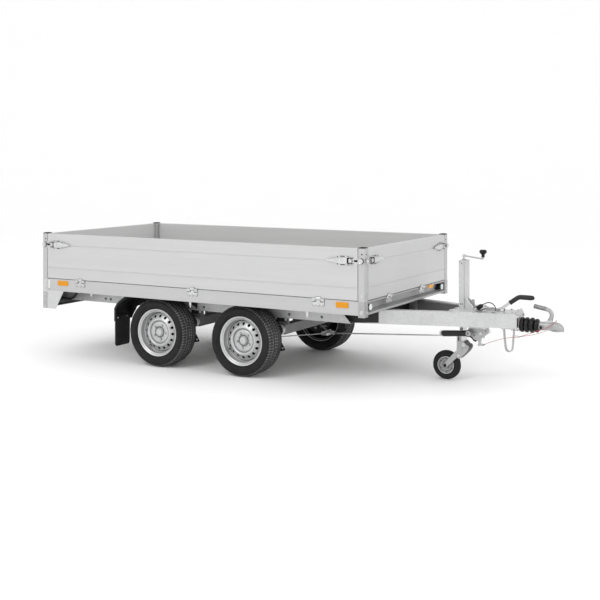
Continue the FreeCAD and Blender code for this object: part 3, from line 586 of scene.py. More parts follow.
def plug_piece():
    """Seven-pin plug: ribbed body, collar, hinged cap lug and a kink guard on the lead."""
    m = Mesh()
    p0 = Vector(LEAD[0])
    d = (Vector(LEAD[1]) - p0).normalized()
    m.turn([(3.4, 0.2), (5.2, 0), (6.4, -4), (8.6, -9), (9, -10), (12.5, -12), (14, -15), (14.2, -22), (15.5, -24),
            (16.6, -25), (16.8, -30), (15.9, -31), (15.9, -33), (16.8, -34), (16.8, -38), (15.9, -39), (15.9, -41),
            (16.8, -42), (17, -50.5), (16.2, -52), (13.5, -52), (13.2, -47), (0, -47)], p0, d, "plastic", 32)
    u, v, w = basis(d)
    for k in range(10):                       # grip ribs along the body
        a = 2 * math.pi * k / 10
        n = u * math.cos(a) + v * math.sin(a)
        m.tube([p0 - d * 14.5 + n * 13.8, p0 - d * 22.5 + n * 14.3], 1.1, "plastic", 6)
    m.box(539, 555, -72, -58, 526, 541, "zinc", 1.0)
    return m.make("light_plug_body", "chassis", replaces=("light_plug",), slot="black_plastic")


def hook_piece():
    """Wire snap hook with its gate, a crimp sleeve and the end of the wire."""
    m = Mesh()
    cx, cy, cz = 840.0, -57.0, 360.0
    ring = [(cx + 16.5, cy, cz - 3.5), (cx + 12, cy, cz - 7), (cx - 11, cy, cz - 7.2), (cx - 17, cy, cz - 4),
            (cx - 17.5, cy, cz + 2), (cx - 13, cy, cz + 6.8), (cx - 2, cy, cz + 7.2), (cx + 12, cy, cz + 6.6), (cx + 17, cy, cz + 2.5),
            (cx + 16.5, cy, cz - 3.5)]
    m.tube(ring, 2.0, "zinc", 12, smooth=2)
    m.cyl((cx - 11, cy, cz + 7.0), (cx - 5, cy, cz + 7.1), 2.2, "zinc", 12)
    a, b = Vector((cx + 17, cy, 360.0)), Vector(CABLE[-1])
    m.cyl(a, a.lerp(b, 0.2), 2.4, "zinc", 12)
    m.turn([(0, 0), (3.0, 0.3), (3.2, 1), (3.2, 6), (2.6, 7), (3.2, 8), (3.2, 13.5), (2.6, 15), (0, 15)], a, b - a, "zinc_dark", 14)
    return m.make("cable_snap_hook", "chassis", replaces=("cable_hook",), slot="zinc_bright")


def bead_piece():
    """Round red stop on the wire, just behind the coupling."""
    m = Mesh()
    want = Vector(M((990, -58, 410)))
    k = min(range(1, len(cable_path) - 1), key=lambda i: (cable_path[i] - want).length)
    p = cable_path[k] * 1000 - Vector((SX, 0, 0))
    d = cable_path[k + 1] - cable_path[k - 1]
    m.turn([(1.6, -9), (4.5, -8.6), (8.2, -6), (10, -2), (10, 2), (8.2, 6), (4.5, 8.6), (1.6, 9)], p, d, "red", 26)
    return m.make("cable_stop_bead", "chassis", 60, slot="cable_red")


plug, hook, bead = plug_piece(), hook_piece(), bead_piece()


# ------------------------------------------------------------------ wheels
CROWN = [(0, 262), (30, 261.8), (48, 261.2), (60, 260.4), (72, 258.4), (80, 255.4), (86, 251.4), (90, 247.6), (95, 242.0)]


def crown(t):
    t = abs(t)
    for (a, ra), (b, rb) in zip(CROWN, CROWN[1:]):
        if t <= b:
            return ra + (rb - ra) * (t - a) / (b - a)
    return CROWN[-1][1]


def tyre_local():
    m = Mesh()
    half = [(167, 73.6), (175, 74.2), (183.2, 75.2), (184.2, 77.5), (186, 81.5), (189.5, 84.4), (192.5, 86.0), (193.3, 87.6),
            (195.3, 88.4), (196.3, 88.0), (200, 91.2), (204, 94.0), (205, 95.2), (207, 95.8), (208, 95.5), (214, 97.8),
            (219, 98.9), (226, 98.9), (232, 98.2), (238, 96.2), (243, 93.4), (246.5, 90.6), (247.6, 88.2), (249.2, 87.8),
            (252.0, 84), (256.6, 60), (258.4, 40), (258.9, 15), (259.0, 0)]
    prof = half + [(r, -t) for r, t in half[-2::-1]]
    n = len(half)
    # the tread floor between the blocks is light grey as a painted highlight
    mats = ["tyre_side" if (i < n - 6 or i > n + 4) else "tyre_groove" for i in range(len(prof))]
    m.turn(prof, (0, 0, 0), (0, 0, 1), "tyre_side", 120, mats=mats)
    u, v, w = basis((0, 0, 1))

    def at(r, a, t):
        return u * (r * math.cos(a)) + v * (r * math.sin(a)) + w * t

    def block(ts, a0, a1, skew, deep=8.0, c=0.0035, sipe=True, mat="tyre_tread"):
        secs = []
        for t in ts:
            r, s = crown(t), skew * (t - ts[0])
            ring = [(a0, r - deep), (a0, r - 0.9), (a0 + c, r)]
            if sipe:
                mid = (a0 + a1) / 2
                ring += [(mid - 0.0022, r), (mid - 0.0016, r - 3.4), (mid + 0.0016, r - 3.4), (mid + 0.0022, r)]
            ring += [(a1 - c, r), (a1, r - 0.9), (a1, r - deep)]
            secs.append([at(q, a + s, t) for a, q in ring])
        m.loft(secs, mat)

    n = 76
    step = 2 * math.pi / n
    for k in range(n):
        a = k * step
        wob = 0.0025 * math.sin(k * 2.4)
        block([-11.2, 0, 11.2], a + wob, a + step * 0.86, 0.0010)
        block([18.8, 30, 42.2], a + step * 0.45 + wob, a + step * 1.28, -0.0014)
        block([-42.2, -30, -18.8], a + step * 0.20, a + step * 1.03 + wob, -0.0014)
        for sg in (1, -1):
            ts = [sg * x for x in (50.2, 57, 64, 69, 73)]
            e0, e1 = (0.06, 0.94) if sg > 0 else (0.56, 1.44)
            block(ts if sg > 0 else ts[::-1], a + step * e0, a + step * e1, 0.0004 * sg, sipe=False, mat="tyre_edge")
            ts = [sg * x for x in (77.4, 81.5, 86, 90)]
            block(ts if sg > 0 else ts[::-1], a + step * (e0 + 0.01), a + step * (e1 - 0.01), 0.0004 * sg, sipe=False)
    return m


def rim_local():
    m = Mesh()
    out = [(168.5, 73), (176, 74.2), (180.6, 75.2), (182.3, 77.2), (182.0, 79.4), (180.4, 80.8), (177.6, 80.9), (174.4, 79.6),
           (171.0, 77.0), (167.6, 73.6), (164.4, 70.2), (161.6, 67.9), (159.4, 66.9), (158.6, 65.4), (159.4, 63.6), (161.0, 61.8),
           (161.4, 58), (160.8, 50), (159.6, 40), (157.8, 32), (155.6, 27.4), (153.2, 25.0), (151.4, 23.6), (150.2, 21.6),
           (148.6, 21.4), (147.0, 23.4), (143.6, 27.6), (138, 34.0)]
    inn = [(108, 52.4), (104.8, 54.6), (101.4, 55.8), (97.8, 55.8), (94.2, 54.2), (90.8, 50.6), (87.8, 45.8), (85.2, 42.4),
           (81.5, 40.8), (76.5, 40.2), (74.2, 41.2), (71.5, 42.6), (68.5, 43.0), (46, 42.2), (44.0, 41.2), (42.2, 39.8), (34.0, 39.4),
           (33.0, 41.2), (31.5, 41.6), (30.6, 41.4)]
    # dark lines in the crease by the disc and between lip and barrel: painted shade
    mo = ["silver_shade" if (146 < r < 152.5 or (z > 61 and r < 161.2 and z < 67)) else "silver_rim" for r, z in out]
    m.turn(out, (0, 0, 0), (0, 0, 1), "silver_rim", 96, mats=mo)
    # dark rings round the cap and the bolt circle are painted shade; the lighter rings at r 66-75 and 90-106 are
    # painted highlights
    mi = ["silver_shade" if (84 < r < 89 or 33 < r < 45) else ("silver_rim" if 90 < r < 106 or 66 < r < 75 else "silver") for r, z in inn]
    m.turn(inn, (0, 0, 0), (0, 0, 1), "silver", 96, mats=mi)
    cap = [(31.6, 40.6), (31.8, 41.4), (31.2, 42.6), (29.4, 43.2), (28.6, 42.6), (28.2, 44.0), (28.0, 50.0), (26.6, 52.8), (23.4, 54.2),
           (19.0, 55.2), (10.0, 56.0), (0, 56.2)]
    m.turn(cap, (0, 0, 0), (0, 0, 1), "silver_rim", 40)
    # black ring round the centre cap: painted shade in the crease
    m.turn([(33.6, 39.6), (33.2, 40.8), (30.0, 41.2)], (0, 0, 0), (0, 0, 1), "steel_black", 40)
    u, v, w = basis((0, 0, 1))

    def z(r):
        return 34.0 + (138 - r) / 30.0 * 18.4 + 1.4 * math.sin(math.pi * (138 - r) / 30.0)

    def at(r, a, dz=0.0):
        return u * (r * math.cos(a)) + v * (r * math.sin(a)) + w * (z(r) + dz)

    R0, HR, NS, NA = 124.0, 10.6, 16, 6
    half = math.pi / NS
    for k in range(NS):
        ac = (2 * k + 1) * half
        edge = []
        for i in range(NA):
            edge.append((138.0, -half + 2 * half * i / NA))
        for i in range(4):
            edge.append((138.0 - 30.0 * i / 4, half))
        for i in range(NA):
            edge.append((108.0, half - 2 * half * i / NA))
        for i in range(4):
            edge.append((108.0 + 30.0 * i / 4, -half))
        n = len(edge)
        ring = [[], [], [], [], [], []]
        for r, a in edge:
            dx, dy = r - R0, R0 * a
            q = math.hypot(dx, dy)
            cx, cy = dx / q, dy / q
            ring[0].append(at(r, ac + a))
            for lvl, (rad, dz) in enumerate(((HR + 3.0, 0.0), (HR + 1.0, -0.2), (HR, -1.2), (HR - 0.3, -4.2))):
                ring[lvl + 1].append(at(R0 + rad * cx, ac + rad * cy / R0, dz))
            ring[5].append(at(r, ac + a, -4.2))
        verts = [p for rg in ring for p in rg]
        faces = [(j * n + i, j * n + (i + 1) % n, (j + 1) * n + (i + 1) % n, (j + 1) * n + i)
                 for j in range(5) for i in range(n)]
        m.add(verts, faces, "silver")
    # barrel seen from the inner side, back of the disc; the well and the back of the disc are black as painted shade
    back = [(168.5, -73), (176, -74.2), (180.6, -75.2), (182.3, -77.4), (181.8, -79.8), (179.6, -81), (177, -80.6), (174.6, -77),
            (172.6, -70), (168, -62), (163.5, -58)]
    m.turn(back, (0, 0, 0), (0, 0, 1), "silver", 96)
    well = [(163.5, -58), (162.6, -50), (162.4, -20), (160.5, -8), (153, 3), (149, 10), (146.4, 15), (143, 22), (138, 29.8)]
    m.turn(well, (0, 0, 0), (0, 0, 1), "steel_black", 96)
    m.turn([(108, 48.2), (99, 51), (94, 48), (88, 39), (80, 36), (62, 35)], (0, 0, 0), (0, 0, 1), "steel_black", 96)
    # black disc behind the holes: painted shade that keeps them dark
    m.turn([(62.5, 26), (147.5, 12), (147.5, 10), (62.5, 24)], (0, 0, 0), (0, 0, 1), "steel_black", 72, closed=True)
    for i in range(5):
        a = 2 * math.pi * i / 5 + 0.3
        p = u * (56 * math.cos(a)) + v * (56 * math.sin(a))
        m.turn([(14.2, 42.2), (13.0, 42.8), (11.4, 41.4), (10.2, 39.8)], p, w, "silver", 24)
        # black ring inside each bolt seat: painted shade in the recess
        m.turn([(12.2, 41.9), (11.0, 42.5), (10.0, 42.3)], p, w, "steel_black", 24)
        m.cyl(p + w * 39, p + w * 43.4, 9.9, "zinc_dark", 20, 0.6)
        hx = [(8.8 * math.cos(math.radians(60 * j)), 8.8 * math.sin(math.radians(60 * j))) for j in range(6)]
        m.slab(hx, p + w * 43.2, u, v, w, 8.4, "silver", 1.2)
    for i in range(5):                         # pressed flutes between the bolts
        a = 2 * math.pi * (i + 0.5) / 5 + 0.3
        er, et = u * math.cos(a) + v * math.sin(a), v * math.cos(a) - u * math.sin(a)
        c0 = er * 60 + w * 42.2
        m.loft([[c0 + er * (14 * q * math.cos(k)) + et * (19 * q * math.sin(k)) - w * d for k in [math.radians(20 * n) for n in range(18)]]
                for q, d in ((1.0, -0.5), (0.82, 0.6), (0.5, 1.8), (0.12, 2.2))], "silver", cap=True)
    p = u * 152.5 * math.cos(1.9) + v * 152.5 * math.sin(1.9)
    q = (u * math.cos(1.9) + v * math.sin(1.9)) * -0.34 + w
    q.normalize()
    m.turn([(0, 28), (6.4, 28.5), (6.4, 33), (4.6, 35), (4.0, 50), (0, 50)], p, q, "rubber", 16)
    m.turn([(3.4, 50), (3.8, 50.5), (3.8, 59), (2.8, 60), (0, 60)], p, q, "plastic", 14)
    return m


def drum_local():
    m = Mesh()
    m.turn([(60, 34.5), (62, 34), (62, 8), (110, 6), (114.4, 2), (114.4, -14), (112.6, -15.5), (112.6, -27), (114.6, -28.5), (114.6, -40),
            (112.6, -41.5), (112.6, -52), (114.8, -53.5), (114.8, -71), (112, -71.6), (106, -71.6), (105, -66), (105, -40)],
           (0, 0, 0), (0, 0, 1), "steel_black", 72)
    return m


tyre0, rim0, drum0 = tyre_local(), rim_local(), drum_local()
turns = {"front_right": 11.0, "front_left": 47.0, "rear_right": 31.0, "rear_left": 71.0}
for end, hx in (("front", HUB_X[0]), ("rear", HUB_X[1])):
    for side, sg in (("right", -1), ("left", 1)):
        key = end + "_" + side
        fit = Matrix(((1, 0, 0, hx), (0, 0, sg, sg * WHEEL_Y), (0, -sg, 0, HUB_Z), (0, 0, 0, 1)))
        fit = fit @ Matrix.Rotation(math.radians(turns[key]), 4, "Z")
        Mesh().merge(tyre0, fit).make("tyre_%s_detail" % key, "wheel_" + key, 40, replaces=("tyre_" + key,), slot="tyre_black")
        Mesh().merge(rim0, fit).merge(drum0, fit).make("rim_%s_detail" % key, "wheel_" + key, 30, replaces=("rim_" + key,),
                                                       slot="silver_paint")


def jockey_wheel():
    at, ax = (299, 0, 105), (0, -1, 0)
    t = Mesh()
    half = [(61.5, 25), (64.5, 26.2), (67, 25.8), (72, 26.8), (80, 27.8), (90, 26.2), (97, 22.4), (101.5, 17), (104.2, 10.5), (104.9, 4), (105, 0)]
    t.turn(half + [(r, -y) for r, y in half[-2::-1]], at, ax, "tyre_side", 96)
    for sg in (1, -1):                        # fine ribs round the tread
        for y in (4.5, 10.5):
            r = 104.7 if y < 6 else 103.9
            t.turn([(r - 0.3, y * sg - 0.8), (r + 0.1, y * sg), (r - 0.3, y * sg + 0.8)], at, ax, "tyre_tread", 96)
    t.make("jockey_tyre_detail", "jockey_wheel", 40, replaces=("jockey_tyre",), slot="tyre_black")
    r = Mesh()
    face = [(61.8, 24.6), (62, 26.4), (60.4, 27), (58.4, 26.2), (56.6, 23.5), (55.8, 18), (54.6, 11), (52.2, 7.4), (48.4, 6.6), (45.0, 8.2),
            (42.4, 12.6), (39.6, 15.2), (36.2, 15.6), (33.2, 14.0), (30.6, 9.8), (27.4, 8.2), (24.8, 9.4), (22.6, 14.6), (20.6, 20),
            (19.6, 26), (18.4, 27.8), (9, 28), (8.6, 27)]
    for sg in (1, -1):
        r.turn([(a, b * sg) for a, b in face], at, ax, "galv_mid", 72)
        r.turn([(62.0, 26.6 * sg), (60.6, 27.3 * sg), (58.2, 26.5 * sg)], at, ax, "zinc", 72)
        for k in range(6):                    # pressed stiffening bumps
            a = 2 * math.pi * (k + 0.5) / 6
            p = Vector((at[0] + 49 * math.cos(a), -sg * 7.0, at[2] + 49 * math.sin(a)))
            r.dome(p, (0, -sg, 0), 6.4, 4.2, "zinc_dark", 16)
    r.make("jockey_rim_detail", "jockey_wheel", 30, replaces=("jockey_rim",), slot="silver_paint")


jockey_wheel()


# ------------------------------------------------- latches, hinges and posts
RIGHT = Matrix.Translation((0, -HALF_W, 0))
FRONT = Matrix.Rotation(math.radians(90), 4, "Z")
REAR = Matrix.Translation((-BED_L, 0, 0)) @ Matrix.Rotation(math.radians(-90), 4, "Z")
BOARD_BOT = RAIL_TOP + 5.0


def latch(m, end, d):
    """Over-centre latch: plate, block, channel lever and a wire link round the keeper."""
    def P(u, o, w):
        return (end + d * u, -o, LATCH_Z + w)

    o0 = (end, 0, LATCH_Z)
    U, W, O = (d, 0, 0), (0, 0, 1), (0, -1, 0)
    half = [(0, 27), (100, 31), (150, 31), (163, 28.5), (166, 24)]
    m.slab(half + [(u, -w) for u, w in half[::-1]], o0, U, W, O, 2.4, "zinc", 0.5)
    for k in (1, -1):
        m.slab([(58, k * 23), (96, k * 24.5), (96, k * 28.5), (58, k * 27)], P(0, 2.4, 0), U, W, O, 1.4, "zinc", 0.4)
        m.slab([(98, k * 26), (136, k * 26), (134, k * 31.5), (100, k * 31.5)], P(0, 1.9, 0), U, W, O, 1.6, "steel_black", 0.4)
        m.slab([(64, k * 28), (84, k * 28), (82, k * 30.8), (66, k * 30.8)], P(0, 1.4, 0), U, W, O, 1.4, "steel_black", 0.4)
        m.slab([(-3, k * 21), (26, k * 21.5), (26, k * 26), (-3, k * 25)], P(0, 2.4, 0), U, W, O, 1.2, "zinc", 0.4)
        m.dome(P(156, 2.3, k * 24.5), O, 4.4, 3.2, "steel_black", 14)
        m.slab([(34, 2), (76, 2), (76, 12), (66, 19), (42, 19), (34, 11)], P(0, 0, k * 20 - 1.7), U, O, W, 3.4, "steel_black", 0.5)
        m.tube([P(44, 9.5, k * 13), P(44, 15.5, k * 6)], 2.2, "zinc_dark", 8)
    # dark block between the ears: painted shade behind the pin
    m.box(*sorted((end + d * 72, end + d * 78)), -16.5, -3, LATCH_Z - 18, LATCH_Z + 18, "steel_black", 0.8)
    m.slab([(42, 12), (66, 14), (66, -14), (42, -12)], P(0, 4, 0), U, W, O, 11.5, "zinc", 1.6)
    m.slab([(2, 12.5), (28, 12.5), (28, -12.5), (2, -12.5)], P(0, 2.2, 0), U, W, O, 1.0, "steel_black", 0.3)
    m.cyl(P(56, 9, -25), P(56, 9, 25), 3.6, "zinc", 16)
    rows = [(78, 17.5, 7, 16.6), (92, 19.6, 7, 18.6), (118, 20.2, 7, 18.9), (150, 18.8, 7.5, 18.6), (180, 15.2, 8, 17.8),
            (208, 10.6, 8, 16.4), (228, 6.8, 8.4, 15), (237, 4.0, 8.8, 13.8), (240, 1.8, 9.4, 12.6)]
    secs = []
    for u, hw, oa, ob in rows:
        k = min(3.4, hw * 0.35)
        dip = 3.4 if 84 < u < 215 else 0.5
        secs.append([P(u, oa, -hw), P(u, ob - 1.4, -hw), P(u, ob, -hw + 1.2), P(u, ob, -hw + k), P(u, ob - dip, -hw + k + 0.9),
                     P(u, ob - dip, hw - k - 0.9), P(u, ob, hw - k), P(u, ob, hw - 1.2), P(u, ob - 1.4, hw), P(u, oa, hw)])
    m.loft(secs, "zinc")
    m.slab([(100, 0), (104, 6.5), (128, 6.5), (132, 0), (128, -6.5), (104, -6.5)], P(0, 14.0, 0), U, W, O, 3.4, "zinc", 1.2)
    # thin dark sheet under the lever: painted shadow on the plate
    m.slab([(86, 14), (200, 8), (200, -8), (86, -14)], P(0, 2.3, 0), U, W, O, 0.5, "zinc_dark", 0.2)
    link = [(62, 9, 9.5), (24, 7.5, 9.5), (-6, 6, 10.4), (-22, 6, 12.8), (-31.5, 6, 10.4), (-36, 6, 4)]
    m.tube([P(*q) for q in link] + [P(u, o, -w) for u, o, w in link[::-1]], 2.6, "zinc", 10, smooth=1)


def strap(m, c):
    z = HINGE_Z
    m.slab([(0, BOARD_BOT), (0, z + 14), (3, z + 14), (3, z + 13), (10, z + 2), (8, z - 3), (5, z)], (c - 19, 0, 0), (0, -1, 0),
           (0, 0, 1), (1, 0, 0), 38, "zinc", 0.4)
    m.cyl((c - 19, -8, z), (c + 19, -8, z), 5.1, "zinc", 20, 0.7)
    # dark strip showing above the strap: painted shadow along its top edge
    m.box(c - 20.2, c + 20.2, -1.0, 0, z + 5.8, z + 16.2, "rubber", 0.3)


def leaf(m, c):
    z = HINGE_Z
    pts = []
    for b in (-34, 0, 34):                      # scalloped lower edge round the bolts
        pts += [(c + b + 12.5 * math.sin(q), 591 - 12.5 * math.cos(q)) for q in [math.radians(v) for v in range(-66, 67, 12)]]
    pts = [(c - 47, 619), (c - 47, 589)] + pts + [(c + 47, 589), (c + 47, 619)]
    m.slab(pts, (0, 0.0, 0), (1, 0, 0), (0, 0, 1), (0, -1, 0), 3, "zinc", 0.6)
    # rubber layer a little larger than the leaf; its dark rim round the scalloped edge is painted shadow
    gasket_shadow_rim = [(c + (x - c) * 1.05, 600 + (w - 600) * (1.11 if w < 600 else 1.0)) for x, w in pts]
    m.slab(gasket_shadow_rim, (0, 0, 0), (1, 0, 0), (0, 0, 1), (0, -1, 0), 1.0, "rubber", 0.2)
    for u0, u1 in ((c - 47, c - 20.5), (c + 20.5, c + 47)):
        m.slab([(0, 600), (0, z - 2), (5, z + 2), (10, z - 3), (3, 604)], (u0, 0, 0), (0, -1, 0), (0, 0, 1), (1, 0, 0), u1 - u0, "zinc", 0.5)
        m.cyl((u0, -8, z), (u1, -8, z), 5.1, "zinc", 20, 0.7)
    m.cyl((c - 47.6, -8, z), (c + 47.6, -8, z), 2.6, "zinc_dark", 14)
    for u in (-18, 18):                         # dark boxes beside the middle knuckle: painted shade in the gaps between the knuckles
        m.box(c + u - 2.6, c + u + 2.6, -3.5, -2, 603, 618.6, "steel_black", 0.3)
    # dark strips below the knuckles: painted shadow lines
    for u0, u1 in ((-43, -24), (24, 43)):
        m.slab([(c + u0, 606), (c + u1, 606), (c + u1, 609.5), (c + u0, 609.5)], (0, -7.2, 0), (1, 0, 0), (0, 0, 1), (0, -1, 0), 1.2,
               "steel_black", 0.3)
    # dark disc under each bolt head: painted shadow round the bolt
    for u in (-34, 0, 34):
        m.turn([(0, 0), (7.6, 0), (7.6, 0.9), (0, 0.9)], (c + u, -2.9, 591), (0, -1, 0), "steel_black", 20)
        m.hexbolt((c + u, -3.4, 591), (0, -1, 0), 8.5, 4.0, "zinc")


HINGES_SIDE, HINGES_FRONT, HINGES_REAR = (-355.0, -1422.0, -2507.0), (-366.0, 230.0), (-300.0, 300.0)
side = Mesh()
latch(side, -48.0, -1)
latch(side, -BED_L + 48.0, 1)
for c in HINGES_SIDE:
    strap(side, c)
right = Mesh().merge(side, RIGHT)
right.make("right_latches_straps", "dropside_right", 28, replaces=("right_board_fittings",), slot="zinc_bright")
Mesh().merge(right, Matrix.Diagonal((1, -1, 1, 1)), flip=True).make("left_latches_straps", "dropside_left", 28,
                                                                    replaces=("left_board_fittings",), slot="zinc_bright")
for name, fit, hinges in (("front", FRONT, HINGES_FRONT), ("rear", REAR, HINGES_REAR)):
    e = Mesh()
    latch(e, -707.0, 1)
    latch(e, 707.0, -1)
    for c in hinges:
        strap(e, c)
    Mesh().merge(e, fit).make(name + "_latches_straps", "dropside_" + name, 28, replaces=(name + "_board_fittings",),
                              slot="zinc_bright")

leaves = Mesh()
one = Mesh()
for c in HINGES_SIDE:
    leaf(one, c)
leaves.mirror(Mesh().merge(one, RIGHT))
for fit, hinges in ((FRONT, HINGES_FRONT), (REAR, HINGES_REAR)):
    e = Mesh()
    for c in hinges:
        leaf(e, c)
    leaves.merge(e, fit)
leaves.make("hinge_leaves_detail", "chassis", 28, replaces=("hinge_leaves",), slot="zinc_bright")

KEEPER = [(0, 0), (14.5, 0), (15, 0.6), (15, 1.8), (9.6, 2.4), (8.8, 3.4), (8.8, 10), (15.5, 11.2), (17.6, 12.4), (18, 13.4), (18, 15.6),
          (17, 17.2), (15, 18), (12.6, 17.6), (11.4, 16.6), (7, 16.2), (6, 14.8), (0, 14.6)]
keep = Mesh()
for x in (-24.0, -BED_L + 24.0):
    keep.turn(KEEPER, (x, -HALF_W, LATCH_Z), (0, -1, 0), "zinc", 36)
    keep.turn([(8, 0.1), (19.6, 0.1), (19.6, 1.2), (8, 1.2)], (x, -HALF_W, LATCH_Z), (0, -1, 0), "steel_black", 36)
keep.turn(KEEPER, (0, -730, LATCH_Z), (1, 0, 0), "zinc", 36)
keep.turn(KEEPER, (-BED_L, -730, LATCH_Z), (-1, 0, 0), "zinc", 36)
Mesh().mirror(keep).make("latch_keepers", "chassis", 35, replaces=("latch_knobs",), slot="zinc_bright")


def corner_fit(x0, out):
    """Fittings of one near-side post: foot sleeve, bolts, lugs and the hole near its top. out = +1 at the front."""
    m = Mesh()
    xf = x0 + POST_X if out > 0 else x0
    t = 1.6
    m.xz(rounded(x0 - 0.2, x0 + POST_X + 0.2, 519, 627.5, 2, 3), -HALF_W - t, -HALF_W, "galv_mid" if out > 0 else "galv", 0.5)
    xa, xb = (xf, xf + t) if out > 0 else (xf - t, xf)
    m.yz(rounded(-HALF_W - t, -HALF_W + POST_Y, 519, 627.5, 2, 3), xa, xb, "galv_mid" if out > 0 else "galv", 0.5)
    m.hexbolt((x0 + 27, -HALF_W - t + 0.2, 553), (0, -1, 0), 13, 6.5, "zinc")
    m.hexbolt((xf + out * (t - 0.2), -HALF_W + 30, 553), (out, 0, 0), 13, 6.5, "zinc")
    for z in (667,):                          # lugs that keep the board's seal in place
        m.slab(capsule(0, -6, 0, 6, 5.0, 5.0, 6), (x0 + 28, -HALF_W, z), (1, 0, 0), (0, 0, 1), (0, -1, 0), 3.2, "zinc", 1.0)
        m.slab(capsule(0, -6, 0, 6, 5.0, 5.0, 6), (xf, -HALF_W + 32, z), (0, 1, 0), (0, 0, 1), (out, 0, 0), 3.2, "zinc", 1.0)
    m.turn([(0, 0.25), (4.0, 0.25), (4.2, 0.5), (5.4, 0.55), (5.8, 0.0)], (x0 + 28, -HALF_W, 951), (0, -1, 0), "steel_black", 20)
    m.turn([(0, 0.25), (4.0, 0.25), (4.2, 0.5), (5.4, 0.55), (5.8, 0.0)], (xf, -HALF_W + 32, 951), (out, 0, 0), "steel_black", 20)
    if out < 0:                               # end piece of the rail, white as a painted highlight, with a dark hole above and below it
        m.xz(rounded(-2844.5, -2825, 551, 621.5, 2), -HALF_W - 1.4, -HALF_W + 0.5, "white", 0.5)
        for z in (542.5, 627.0):
            m.turn([(0, 0.5), (3.4, 0.5), (3.8, 0.0)], (-2834.5, -HALF_W - 0.2, z), (0, -1, 0), "steel_black", 14)
    return m


posts = Mesh()
posts.merge(corner_fit(-POST_X, 1)).merge(corner_fit(-BED_L, -1))
Mesh().mirror(posts).make("post_fittings", "chassis", 30, slot="zinc_bright")

caps = Mesh()
for x in (-POST_X, -BED_L):
    caps.xy(rounded(x - 1.5, x + POST_X + 1.5, -HALF_W - 1.5, -HALF_W + POST_Y + 1.5, 5), BOARD_TOP, BOARD_TOP + 5.2, "plastic", 1.6)
    caps.xy(rounded(x + 5, x + POST_X - 5, -HALF_W + 5, -HALF_W + POST_Y - 5, 6), BOARD_TOP + 5, BOARD_TOP + 8, "plastic", 2.2)
    caps.box(x + 6, x + POST_X - 6, -HALF_W + 6, -HALF_W + POST_Y - 6, BOARD_TOP - 20, BOARD_TOP + 1, "plastic", 1)
Mesh().mirror(caps).make("post_caps_moulded", "chassis", 30, replaces=("post_caps",), slot="black_plastic")

# ---------------------------------------------------- reflectors and lamps
rf = Mesh()
for x0, x1 in ((-216.0, -121.0), (-2740.0, -2635.0)):
    one = Mesh()
    one.xz(rounded(x0, x1, 578, 617, 5), -HALF_W - 6, -HALF_W, "amber", 1.6)
    one.xz(rounded(x0 + 4, x1 - 4, 582, 613, 3), -HALF_W - 6.4, -HALF_W - 5.5, "amber", 0.3)
    rf.mirror(one)
rf.yz(rounded(358, 450, 599, 624, 4), 0, 6, "amber", 1.5)
rf.yz(rounded(362, 446, 602.5, 620.5, 3), 5.5, 6.4, "amber", 0.3)
rf.make("reflectors_prismatic", "chassis", 30, replaces=("amber_reflectors",), slot="amber_lens")

LY, LZ = 652.0, 582.0
mk = Mesh()
mk.turn([(0, -50), (19.6, -50), (20.6, -48), (21.3, -44), (21.3, -30), (20.4, -29), (20.4, -26), (21.3, -25), (21.3, -13), (22.3, -12),
         (22.4, -8.5), (21.4, -8), (20.8, -9)], (0, -LY, LZ), (1, 0, 0), "plastic", 40)
mk.turn([(20.9, -9), (21.6, -7.8), (21.8, -4.5), (20.8, -2.6), (21.0, -1.8), (18.4, 0.6), (14.5, 1.7), (9, 2.2), (0, 2.4)], (0, -LY, LZ),
        (1, 0, 0), "white_lens", 40)
mk.box(-50, -30, -LY + 14, -LY + 34, LZ - 20, LZ - 4, "plastic", 1.0)          # cable gland
Mesh().mirror(mk).make("marker_lamps_detail", "chassis", 30, replaces=("marker_lamps",), slot="white_lens")

tl = Mesh()
xr = -BED_L
tl.yz(rounded(-730, -510, 400, 500, 8), xr + 6, xr + 12, "plastic", 1.2)
for y0, y1, key in ((-728, -662, "orange_lens"), (-660, -580, "red_lens"), (-578, -512, "white_lens")):
    tl.yz(rounded(y0, y1, 402, 498, 7), xr + 0.0, xr + 6.5, key, 3.0)
    for z in range(410, 494, 12):
        tl.yz([(y0 + 6, z), (y1 - 6, z), (y1 - 6, z + 3), (y0 + 6, z + 3)], xr - 0.6, xr + 0.5, key, 0.5)
for y in (-722, -518):
    tl.dome((xr + 0.2, y, 408), (-1, 0, 0), 3.4, 2.2, "zinc_dark", 12)
Mesh().mirror(tl).make("tail_lamps_detail", "chassis", 30, replaces=("tail_lamps",), slot="red_lens")

rear = Mesh()
skirt = Mesh()
skirt.xz([(xr + 1, 388), (xr + 47, 388), (xr + 47, 519), (xr + 1, 519)], -HALF_W - 1.5, -HALF_W, "galv_mid", 0.6)
for x, z in ((xr + 24, 402), (xr + 24, 498)):
    skirt.hexbolt((x, -HALF_W - 1.3, z), (0, -1, 0), 9, 4, "zinc")
Mesh().mirror(skirt).make("skirt_folds", "chassis", 30, slot="galvanised")
pl = Mesh()
pl.yz(rounded(-262, 262, 400, 514, 8), xr + 8.2, xr + 12, "plastic", 1.0)
pl.yz(rounded(-258, 258, 404, 510, 6), xr + 6.6, xr + 8.4, "plate", 0.6)
for y in (-180, 180):
    pl.xz(rounded(xr + 1, xr + 12, 514, 520, 1.5), y - 26, y + 26, "plastic", 1.0)
rear.merge(pl)
for y in (-400, 400):                          # triangular reflectors
    tri = [(y - 62, 402), (y + 62, 402), (y, 509)]
    rear.yz(tri, xr + 8.5, xr + 12, "plastic", 1.0)
    rear.yz([(y - 54, 407), (y + 54, 407), (y, 500)], xr + 5.5, xr + 8.8, "red_lens", 1.0)
rear.make("rear_panel_trim", "chassis", 30, slot="black_plastic")

